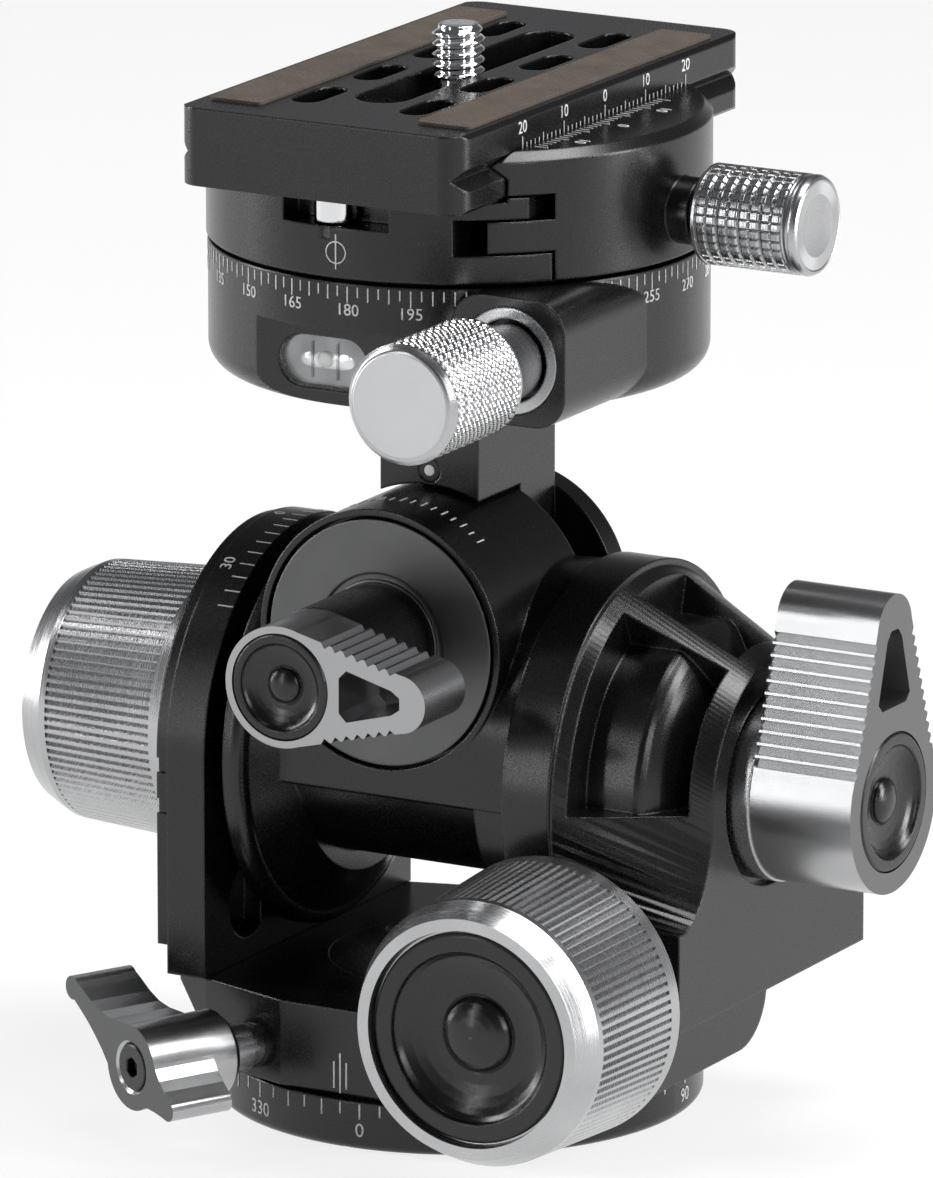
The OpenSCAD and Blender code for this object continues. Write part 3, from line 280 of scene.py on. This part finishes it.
CLAMP_KNOB_MAT = turned("silver_turned_clamp_knob", (0, 0, CLAMP_KNOB_Z), (1, 0, 0))
RIGHT_LEVER_MAT = faced("silver_right_lever", grey(0.17), (1, 0, 0))
FRONT_LEVER_MAT = faced("silver_front_lever", grey(0.36), (0, 1, 0))
WING_MAT = faced("silver_wing_screw", grey(0.11), (0.446, 0.895, 0))
RADIAL = radial_brushed()
RUBBER, FLUID, GLASS = rubber(), vial_fluid(), clear_glass()

# nodes that aren't black
FINISH = {
    "thread_insert": STEEL, "pan_bearing_ring": POLYMER, "cap_screws": STEEL, "cover_screws": STEEL,
    "left_arm_bush": BRONZE, "right_arm_bush": BRONZE, "front_worm_bushes": BRONZE, "tilt_wheel": BRONZE,
    "roll_bush": BRONZE, "left_worm_bushes": BRONZE, "roll_wheel": BRONZE,
    "wing_lock_knob": WING_MAT, "wing_lock_cap": BLACK_CAP, "lock_bolt": STEEL,
    "front_knob": FRONT_KNOB_MAT, "front_knob_cap": BLACK_CAP, "front_worm_shaft": STEEL,
    "left_knob": LEFT_KNOB_MAT, "left_knob_cap": BLACK_CAP, "left_worm_shaft": STEEL,
    "front_bearing_cap": BLACK_FACE,
    "right_lever": RIGHT_LEVER_MAT, "right_lever_cap": BLACK_CAP, "right_lever_shaft": SILVER,
    "front_lever": FRONT_LEVER_MAT, "front_lever_cap": BLACK_CAP,
    "roll_shaft": STEEL, "level_vial": FLUID, "vial_window": GLASS, "lock_ring": SILVER, "stem_screws": STEEL,
    "pan_lock_knob": LOCK_KNOB_MAT, "pan_lock_screw": STEEL, "clamp_spindle": STEEL, "stop_pin": CHROME,
    "stop_pin_spring": STEEL, "jaw_guides": STEEL, "clamp_knob": CLAMP_KNOB_MAT, "clamp_screw": STEEL,
    "rubber_strips": RUBBER, "camera_screw": CHROME,
}
for node_name, obj in NODES.items():
    obj.data.materials.clear()
    obj.data.materials.append(FINISH.get(node_name, BLACK))
    for poly in obj.data.polygons:
        poly.material_index = 0


# ---------- mesh helpers ----------
def mesh_object(name, verts, faces, mat, smooth=False):
    """A new object from points in metres."""
    mesh = bpy.data.meshes.new(name)
    mesh.from_pydata([tuple(v) for v in verts], [], faces)
    mesh.update()
    mesh.materials.append(mat)
    if smooth:
        for poly in mesh.polygons:
            poly.use_smooth = True
    obj = bpy.data.objects.new(name, mesh)
    bpy.context.scene.collection.objects.link(obj)
    return obj


def circle(radius, seg):
    """Points of a circle, in two coordinates."""
    return [(radius * math.cos(TAU * i / seg), radius * math.sin(TAU * i / seg)) for i in range(seg)]


def wall(rows, seg):
    """Quads between neighbouring rows, each a ring of seg points."""
    return [(i * seg + k, i * seg + (k + 1) % seg, (i + 1) * seg + (k + 1) % seg, (i + 1) * seg + k)
            for i in range(rows - 1) for k in range(seg)]


def smooth_by_angle(obj, degrees):
    """Smooth shading, with edges sharper than the angle kept sharp."""
    for poly in obj.data.polygons:
        poly.use_smooth = True
    bm = bmesh.new()
    bm.from_mesh(obj.data)
    bmesh.ops.recalc_face_normals(bm, faces=bm.faces[:])
    for edge in bm.edges:
        edge.smooth = edge.calc_face_angle(0.0) < math.radians(degrees)
    bm.to_mesh(obj.data)
    bm.free()


def disc_on_front(name, x0, y, z0, radius, thick, body, mat, seg=28):
    """Thin round disc facing -Y, its back sunk into the surface at y."""
    ring = circle(radius, seg)
    verts = [((x0 + u) * MM, yy * MM, (z0 + v) * MM) for yy in (y + 0.6, y - thick) for u, v in ring]
    faces = [tuple(range(seg, 2 * seg)), tuple(range(seg - 1, -1, -1))] + wall(2, seg)
    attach(mesh_object(name, verts, faces, mat), body)


class Marks:
    """Thin raised patches and figures collected into one mesh; place(u, v, lift) puts a point on the surface."""

    # faces of a patch: four corners below the surface, then the same four above it
    FACES = ((4, 6, 7, 5), (0, 1, 3, 2), (0, 2, 6, 4), (1, 5, 7, 3), (0, 4, 5, 1), (2, 3, 7, 6))

    def __init__(self, place):
        self.place, self.verts, self.faces = place, [], []

    def patch(self, quad, lift=MARK_LIFT):
        """A closed patch over two pairs of corners."""
        base = len(self.verts)
        self.verts += [self.place(u, v, layer) for layer in (-MARK_SINK, lift) for u, v in quad]
        self.faces += [tuple(base + i for i in face) for face in self.FACES]

    def line(self, u, half, v0, v1, lift=MARK_LIFT):
        """A straight line centred on u, from v0 to v1."""
        self.patch([(u - half, v0), (u - half, v1), (u + half, v0), (u + half, v1)], lift)

    def figure(self, text, u, v, size, turn=0.0):
        """Figures centred at (u, v), size millimetres high, turned by turn degrees in the surface."""
        curve = bpy.data.curves.new("figure", "FONT")
        curve.body = text
        curve.align_x, curve.align_y = "CENTER", "CENTER"
        curve.size = size / 0.72        # the font's figures are 0.72 of its size high
        curve.resolution_u = 3
        obj = bpy.data.objects.new("figure", curve)
        bpy.context.scene.collection.objects.link(obj)
        bpy.context.view_layer.update()
        mesh = bpy.data.meshes.new_from_object(obj.evaluated_get(bpy.context.evaluated_depsgraph_get()))
        bm = bmesh.new()
        bm.from_mesh(mesh)
        geom = bmesh.ops.extrude_face_region(bm, geom=bm.faces[:])
        for top in [g for g in geom["geom"] if isinstance(g, bmesh.types.BMVert)]:
            top.co.z += 1.0
        bm.verts.ensure_lookup_table()
        base = len(self.verts)
        c, s = math.cos(math.radians(turn)), math.sin(math.radians(turn))
        for vert in bm.verts:
            x, y = vert.co.x, vert.co.y
            layer = MARK_LIFT if vert.co.z > 0.5 else -MARK_SINK
            self.verts.append(self.place(u + x * c - y * s, v + x * s + y * c, layer))
        self.faces += [tuple(base + q.index for q in face.verts) for face in bm.faces]
        bm.free()
        bpy.data.objects.remove(obj)
        bpy.data.meshes.remove(mesh)

    def build(self, name, body, mat=WHITE):
        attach(mesh_object(name, self.verts, self.faces, mat), body)


# ---------- scales ----------
def on_vertical_cylinder(radius, z0):
    """u runs in millimetres round +Z from the front (-Y) towards +X, and v up from z0."""
    def place(u, v, lift):
        a = u / radius
        r = (radius + lift) * MM
        return (r * math.sin(a), -r * math.cos(a), (z0 + v) * MM)
    return place


def wrapped(deg):
    """An angle brought between -180 and 180 degrees."""
    return (deg + 180.0) % 360.0 - 180.0


def base_scale():
    """Degree scale round the base's edge, with figures below its lines."""
    top, short, long = 5.8, 4.4, 3.9
    marks = Marks(on_vertical_cylinder(BASE_R, 0.0))
    for deg in range(0, 360, 5):
        u = math.radians(wrapped(deg + BASE_ZERO)) * BASE_R
        marks.line(u, 0.1, long if deg % 10 == 0 else short, top)
        if deg % 30 == 0:
            marks.figure(str(deg), u, 2.5, 1.75)
    marks.build("base_scale", "base")


def platform_index():
    """Three lines on the platform's flat front, the middle one longer."""
    def place(u, v, lift):
        return (u * MM, -(PLATFORM_Y + lift) * MM, v * MM)
    marks = Marks(place)
    for u, z0, z1 in ((-1.2, 7.0, 10.3), (-0.36, 6.5, 11.4), (0.48, 7.0, 10.3)):
        marks.line(u, 0.11, z0, z1)
    marks.build("platform_index", "turning_frame")


def arm_scale():
    """Degree scale round the left arm's rim, from the top."""
    x0 = LEFT_ARM_X + LEFT_ARM_T

    def place(u, v, lift):
        a = u / ARM_R
        r = (ARM_R + lift) * MM
        return ((-x0 + v) * MM, -r * math.sin(a), TILT_Z * MM + r * math.cos(a))
    marks = Marks(place)
    for deg in range(-45, 50, 5):
        u = math.radians(deg) * ARM_R
        marks.line(u, 0.07, LEFT_ARM_T - 2.2, LEFT_ARM_T - 0.15)
        if deg % 30 == 0:
            marks.figure(str(abs(deg)), u + 0.2, 1.55, 1.55, 180)
    marks.build("tilt_scale", "turning_frame")


def barrel_scale():
    """Lines over the barrel's top, behind its front cap."""
    front, short, long = -14.4, -13.1, -12.7

    def place(u, v, lift):
        a = u / BARREL_R
        r = (BARREL_R + lift) * MM
        return (r * math.sin(a), v * MM, ROLL_Z * MM + r * math.cos(a))
    marks = Marks(place)
    for i in range(-8, 9):
        marks.line(math.radians(i * 5) * BARREL_R, 0.09, front, long if i % 2 == 0 else short)
    marks.build("roll_scale", "tilt_frame")


def ring_scale():
    """Degree scale round the pan ring's top edge, with a figure at every 15 degrees."""
    top = RING_H - 0.35
    marks = Marks(on_vertical_cylinder(RING_R, RING_Z))
    for step in range(144):
        value = step * 2.5
        u = math.radians(wrapped(value - RING_ZERO)) * RING_R
        length = 2.0 if value % 15 == 0 else (1.7 if value % 5 == 0 else 1.25)
        marks.line(u, 0.075, top - length, top)
        if value % 15 == 0:
            marks.figure(str(int(value)), u, RING_H - 3.2, 1.45)
    marks.build("pan_scale", "roll_frame")


def jaw_scale():
    """Millimetre scale on the moving jaw's top, read from the right."""
    start, short, long = 20.0, 21.2, 21.8

    def place(u, v, lift):
        return (v * MM, u * MM, (CLAMP_TOP + lift) * MM)
    marks = Marks(place)
    for i in range(-15, 16):
        marks.line(JAW_ZERO_Y + i, 0.07, start, long if i % 5 == 0 else short)
    for i in (-10, 0, 10):
        marks.figure(str(abs(i)), JAW_ZERO_Y + i, 23.7, 1.5, 180)
    marks.build("jaw_scale", "jaw")


def clamp_mark():
    """Circle with a line through it on the clamp's front."""
    u0, v0, inner, outer, seg = 0.28, 3.3, 1.22, 1.36, 24
    marks = Marks(on_vertical_cylinder(CLAMP_R, CLAMP_Z))
    marks.line(u0, 0.08, 1.3, 5.5)
    for i in range(seg):
        ends = (TAU * i / seg, TAU * (i + 1) / seg)
        marks.patch([(u0 + r * math.cos(a), v0 + r * math.sin(a)) for a in ends for r in (outer, inner)])
    marks.build("clamp_mark", "clamp")


def plate_scale():
    """Millimetre scales on both long sides of the plate."""
    foot, heights = 120.9, (1.0, 1.4, 1.8)
    for side in (-1, 1):
        def place(u, v, lift):
            return ((side * (PLATE_W / 2 + lift)) * MM, side * u * MM + PLATE_Y0 * MM, v * MM)
        marks = Marks(place)
        for i in range(-20, 21):
            marks.line(i, 0.07, foot, foot + heights[(i % 5 == 0) + (i % 10 == 0)])
            if i % 10 == 0:
                marks.figure(str(abs(i)), i, 123.75, 1.5)
        marks.build("plate_scale_right" if side > 0 else "plate_scale_left", "plate")


def stem_dot():
    """Plug in the stem's front hole, with a white dot on it."""
    disc_on_front("stem_plug", 0.0, -STEM_Y, STEM_DOT_Z, 1.47, -0.05, "roll_frame", BLACK)
    disc_on_front("stem_dot", 0.0, -STEM_Y, STEM_DOT_Z, 0.68, 0.02, "roll_frame", WHITE)


# ---------- vial ----------
def slot_outline(half_w, half_h, n=10):
    """Points of a slot with round ends, in x and z."""
    flat = half_w - half_h
    pts = []
    for side in (1, -1):
        for i in range(n + 1):
            a = -math.pi / 2 + math.pi * i / n
            pts.append((side * (flat + half_h * math.cos(a)), side * half_h * math.sin(a)))
    return pts


def vial_bezel():
    """Thin bezel round the window."""
    outer, inner = slot_outline(6.15, 3.35), slot_outline(5.75, 2.95)
    verts = [((VIAL_X + px) * MM, y * MM, (VIAL_Z + pz) * MM)
             for y in (VIAL_Y - 0.25, VIAL_Y + 0.3) for ring in (outer, inner) for px, pz in ring]
    faces = []
    n = len(outer)
    for i in range(n):
        j = (i + 1) % n
        for a, b in ((0, n), (n, 3 * n), (3 * n, 2 * n), (2 * n, 0)):
            faces.append((a + i, b + i, b + j, a + j))
    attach(mesh_object("vial_bezel", verts, faces, BLACK), "roll_frame")


def vial_lines():
    """The two lines that the bubble stands between."""
    def place(u, v, lift):
        return ((VIAL_X + u) * MM, (VIAL_Y + 0.12 - lift) * MM, (VIAL_Z + v) * MM)
    lines = Marks(place)
    for u in (-2.0, 1.4):
        lines.line(u, 0.1, -2.2, 2.2, 0.04)
    lines.build("vial_lines", "roll_frame", DARK_MARK)


def vial_tube():
    """Glass tube with rounded ends, a little flattened from the front."""
    half, radius, flatten, rows, seg = 4.6, 1.9, 0.42, 14, 24
    verts = []
    for i in range(rows + 1):
        along = 2 * i / rows - 1
        r = radius * math.sqrt(max(0.0, 1 - abs(along) ** 6))
        for c, s in circle(r, seg):
            verts.append(((VIAL_X + half * along) * MM, (VIAL_Y + 0.9 + flatten * c) * MM, (VIAL_Z + s) * MM))
    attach(mesh_object("vial_tube", verts, wall(rows + 1, seg), CHROME, True), "roll_frame")


def vial_bubble():
    rows, seg = 8, 16
    verts = []
    for i in range(rows + 1):
        t = math.pi * i / rows
        for c, s in circle(math.sin(t), seg):
            verts.append(((VIAL_X - 0.3 + 1.15 * c) * MM, (VIAL_Y + 0.12 + 0.25 * math.cos(t)) * MM,
                          (VIAL_Z + 0.15 + 1.0 * s) * MM))
    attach(mesh_object("vial_bubble", verts, wall(rows + 1, seg), WHITE, True), "roll_frame")


# ---------- turned pieces with thread and knurls ----------
def lathe(name, rows, seg, place, radius, mat):
    """Closed surface of revolution: rows of (height, radius), with radius(a, h, r) giving each point its own."""
    verts = []
    for h, r in rows:
        for k in range(seg):
            a = TAU * k / seg
            rr = radius(a, h, r)
            verts.append(place(rr * math.cos(a), rr * math.sin(a), h))
    last = (len(rows) - 1) * seg
    caps = [tuple(range(seg - 1, -1, -1)), tuple(range(last, last + seg))]
    return mesh_object(name, verts, wall(len(rows), seg) + caps, mat)


def camera_screw():
    """Head, shank and the cut thread of the camera screw."""
    pitch, major, minor, neck = 1.27, 3.175, 2.55, 2.7
    z_thread, z_top, n = PLATE_TOP - 0.9, PLATE_TOP + 5.6, 44
    rows = [(PLATE_Z + 0.3, 6.5), (PLATE_Z + 0.6, 6.8), (PLATE_Z + 4.6, 6.8), (PLATE_Z + 4.9, 6.5),
            (PLATE_Z + 4.9, neck), (PLATE_TOP - 1.0, neck)]
    rows += [(z_thread + (z_top - z_thread) * i / n, major) for i in range(n + 1)]

    def place(x, y, z):
        return (x * MM, (y + SCREW_Y) * MM, z * MM)

    def radius(a, h, r):
        if r != major:
            return r
        t = (h / pitch - a / TAU) % 1.0
        ridge = max(0.0, 1.0 - abs(t - 0.5) * 2.6)
        fade = min(1.0, max(0.0, (z_top - h) / 0.9))
        return minor - 0.25 * (1 - fade) + (major - minor) * ridge * fade

    obj = lathe("camera_screw_threaded", rows, 48, place, radius, CHROME)
    smooth_by_angle(obj, 50)
    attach(obj, "camera_screw")
    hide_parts("camera_screw")


def knurl(a, h, radius, depth, pitch):
    """Depth of a diamond knurl at one point: two crossed sets of grooves."""
    turn = a / TAU * round(TAU * radius / pitch)
    cut = 0.0
    for sign in (1, -1):
        t = (turn + sign * h / pitch) % 1.0
        cut = max(cut, 1.0 - abs(t - 0.5) * 3.2)
    return depth * cut


def lock_knob():
    """Lock knob: grey neck, diamond-knurled head and a flat turned face."""
    head_r, start, length, n = 7.1, 9.2, 15.4, 92
    rows = [(0.0, 4.6), (5.2, 4.2), (8.2, 6.0), (8.7, 6.6), (9.1, 7.0)]
    rows += [(start + length * i / n, head_r) for i in range(n + 1)]
    rows += [(24.75, 6.95), (25.25, 6.55), (25.4, 6.3)]

    def place(x, y, z):
        return ((LOCK_X + x) * MM, (LOCK_Y - z) * MM, (LOCK_Z + y) * MM)

    def radius(a, h, r):
        return r - knurl(a, h, head_r, 0.26, 0.92) if 9.6 < h < 24.3 else r

    disc_on_front("lock_knob_face", LOCK_X, LOCK_Y - 25.36, LOCK_Z, 6.2, 0.06, "pan_lock", SILVER_FLAT, 64)
    obj = lathe("lock_knob_knurled", rows, 288, place, radius, LOCK_KNOB_MAT)
    smooth_by_angle(obj, 40)
    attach(obj, "pan_lock")
    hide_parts("pan_lock_knob")


def clamp_knob():
    """Clamp knob with a block knurl and a rim groove."""
    head_r, start, length, n = 6.0, 1.5, 11.9, 96
    knurl_0, knurl_1, columns, pitch, depth = 1.8, 13.2, 34, 1.425, 0.36
    rows = [(0.0, 3.6), (0.4, 4.6), (0.9, 5.5), (1.4, 6.0)]
    rows += [(start + length * i / n, head_r) for i in range(n + 1)]
    rows += [(13.5, 5.95), (13.6, 5.6), (13.85, 5.55), (14.05, 5.95), (14.5, 6.0), (15.0, 5.75),
             (15.15, 5.4), (15.05, 5.2)]

    def place(x, y, z):
        return ((CLAMP_KNOB_X + z) * MM, x * MM, (CLAMP_KNOB_Z + y) * MM)

    def groove(t):
        """From 0 on a block to 1 between two blocks, as t goes once round."""
        return min(1.0, max(0.0, abs(t % 1.0 - 0.5) * 6.0 - 2.0))

    def radius(a, h, r):
        if not knurl_0 < h < knurl_1:
            return r
        return r - depth * max(groove(a / TAU * columns), groove((h - knurl_0) / pitch))

    obj = lathe("clamp_knob_knurled", rows, 408, place, radius, CLAMP_KNOB_MAT)
    smooth_by_angle(obj, 40)
    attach(obj, "clamp_drive")
    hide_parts("clamp_knob")


def clamp_knob_face():
    """Slightly hollow end face, brushed in circles."""
    seg, radius, back, front, middle = 64, 5.2, 14.6, 15.07, 15.0
    verts = [((CLAMP_KNOB_X + d) * MM, u * MM, (CLAMP_KNOB_Z + v) * MM)
             for d in (back, front) for u, v in circle(radius, seg)]
    verts.append(((CLAMP_KNOB_X + middle) * MM, 0, CLAMP_KNOB_Z * MM))
    faces = [tuple(range(seg - 1, -1, -1))] + [(seg + i, seg + (i + 1) % seg, 2 * seg) for i in range(seg)]
    face = mesh_object("clamp_knob_face", verts, faces + wall(2, seg), RADIAL)
    smooth_by_angle(face, 40)
    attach(face, "clamp_drive")


def rubber_pattern():
    """Small pyramids over both rubber strips."""
    columns, rows, pitch_x, pitch_y, half_x, half_y = 11, 90, 0.62, 0.66, 0.27, 0.29
    z0, height = PLATE_TOP + 0.28, 0.2
    verts, faces = [], []
    for side in (-1, 1):
        for i in range(columns):
            for j in range(rows):
                x = side * STRIP_X + (i - (columns - 1) / 2) * pitch_x
                y = PLATE_Y0 + (j - (rows - 1) / 2) * pitch_y
                base = len(verts)
                for sx, sy in ((-1, -1), (1, -1), (1, 1), (-1, 1)):
                    verts.append(((x + sx * half_x) * MM, (y + sy * half_y) * MM, z0 * MM))
                verts.append((x * MM, y * MM, (z0 + height) * MM))
                faces.append((base, base + 3, base + 2, base + 1))
                faces += [(base + k, base + (k + 1) % 4, base + 4) for k in range(4)]
    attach(mesh_object("rubber_pattern", verts, faces, RUBBER), "plate")


base_scale()
platform_index()
arm_scale()
barrel_scale()
ring_scale()
jaw_scale()
clamp_mark()
plate_scale()
stem_dot()
vial_bezel()
vial_lines()
vial_tube()
vial_bubble()
camera_screw()
lock_knob()
clamp_knob()
clamp_knob_face()
rubber_pattern()

# ---------- studio ----------
scene = bpy.context.scene
AIM = Vector((0, 0, 0.06))      # what the lamps and the camera look at, metres


def studio_white():
    """Pale floor that keeps the object's shadow and shows white to the camera and in reflections."""
    mat, tree, shader = new_material("studio_white")
    pale = ramp(tree, noise(tree, coords(tree), 3.0, 2.0), [(0.2, (0.89, 0.89, 0.89)), (0.8, (0.9, 0.9, 0.9))])
    tree.links.new(pale, shader.inputs["Base Color"])
    shader.inputs["Roughness"].default_value = 0.8
    shader.inputs["Specular IOR Level"].default_value = 0.1
    path = tree.nodes.new("ShaderNodeLightPath")
    seen = path.outputs["Is Camera Ray"]
    for ray in ("Is Glossy Ray", "Is Transmission Ray"):
        seen = operation(tree, "ShaderNodeMath", "MAXIMUM", seen, path.outputs[ray]).outputs[0]
    fade = operation(tree, "ShaderNodeMath", "MULTIPLY", seen, 0.8)
    glow = tree.nodes.new("ShaderNodeEmission")
    glow.inputs["Color"].default_value = (1, 1, 1, 1)
    mix = tree.nodes.new("ShaderNodeMixShader")
    tree.links.new(fade.outputs[0], mix.inputs["Fac"])
    tree.links.new(shader.outputs[0], mix.inputs[1])
    tree.links.new(glow.outputs[0], mix.inputs[2])
    out = [node for node in tree.nodes if node.type == "OUTPUT_MATERIAL"][0]
    tree.links.new(mix.outputs[0], out.inputs[0])
    return mat


def floor():
    """Wide flat round floor."""
    radii, seg, z = (0.05, 0.3, 1.0, 2.5, 6.0), 64, -0.0001
    verts = [(u, v, z) for r in radii for u, v in circle(r, seg)]
    faces = [tuple(range(seg))] + [face[::-1] for face in wall(len(radii), seg)]
    mesh_object("studio_floor", verts, faces, studio_white())


def lamp(name, place, width, height, power):
    """Rectangular softbox that faces the object."""
    data = bpy.data.lights.new(name, "AREA")
    data.energy = power
    data.shape = "RECTANGLE"
    data.size, data.size_y = width, height
    obj = bpy.data.objects.new(name, data)
    obj.location = place
    obj.rotation_euler = (AIM - Vector(place)).to_track_quat("-Z", "Y").to_euler()
    scene.collection.objects.link(obj)


def studio_world():
    """White behind the object for the camera, and a soft light that is stronger from the horizon."""
    world = bpy.data.worlds.new("studio_world")
    scene.world = world
    world.use_nodes = True
    tree = world.node_tree
    for node in list(tree.nodes):
        tree.nodes.remove(node)
    out = tree.nodes.new("ShaderNodeOutputWorld")
    mix = tree.nodes.new("ShaderNodeMixShader")
    light = tree.nodes.new("ShaderNodeBackground")
    seen = tree.nodes.new("ShaderNodeBackground")
    split = tree.nodes.new("ShaderNodeSeparateXYZ")
    tree.links.new(tree.nodes.new("ShaderNodeTexCoord").outputs["Generated"], split.inputs[0])
    tree.links.new(map_range(tree, split.outputs["Z"], 0.0, 0.32, 0.5, 0.10), light.inputs["Strength"])
    light.inputs["Color"].default_value = (0.96, 0.97, 1.0, 1)
    seen.inputs["Color"].default_value = (1, 1, 1, 1)
    seen.inputs["Strength"].default_value = 1.0
    tree.links.new(tree.nodes.new("ShaderNodeLightPath").outputs["Is Camera Ray"], mix.inputs["Fac"])
    tree.links.new(light.outputs[0], mix.inputs[1])
    tree.links.new(seen.outputs[0], mix.inputs[2])
    tree.links.new(mix.outputs[0], out.inputs[0])


floor()
lamp("top_softbox", (0.22, 0.10, 0.90), 0.36, 0.5, 6.5)
lamp("left_strip", (-0.80, -0.20, 0.32), 0.14, 0.9, 6.0)
lamp("right_strip", (0.70, 0.22, 0.34), 0.18, 0.8, 6.5)
lamp("front_left_strip", (-0.45, -0.95, 0.36), 0.08, 0.8, 1.6)
lamp("front_right_strip", (0.95, -0.60, 0.46), 0.10, 0.6, 2.4)
studio_world()


# ---------- camera: the photograph's viewing angle ----------
AZIMUTH, ELEVATION, DISTANCE = math.radians(29.2), math.radians(14.4), 1.5
FRAME_W, FRAME_H = 933.0, 1178.0        # pixels of the photograph's frame
FOCAL = 12570.0                         # focal length in those pixels
AIM_PX, AIM_PY = 459.4, 604.2           # where AIM lies in the frame, from its top left


def photo_camera():
    direction = Vector((math.sin(AZIMUTH) * math.cos(ELEVATION), -math.cos(AZIMUTH) * math.cos(ELEVATION),
                        math.sin(ELEVATION)))
    data = bpy.data.cameras.new("photo_camera")
    cam = bpy.data.objects.new("photo_camera", data)
    scene.collection.objects.link(cam)
    cam.location = AIM + direction * DISTANCE
    cam.rotation_euler = (-direction).to_track_quat("-Z", "Y").to_euler()
    data.sensor_fit = "VERTICAL"
    data.sensor_height = 36.0
    data.lens = FOCAL / FRAME_H * data.sensor_height
    data.shift_x = (FRAME_W / 2 - AIM_PX) / FRAME_H
    data.shift_y = (AIM_PY - FRAME_H / 2) / FRAME_H
    data.clip_start, data.clip_end = 0.05, 10.0
    return cam


scene.camera = photo_camera()
scene.view_settings.view_transform = "Standard"
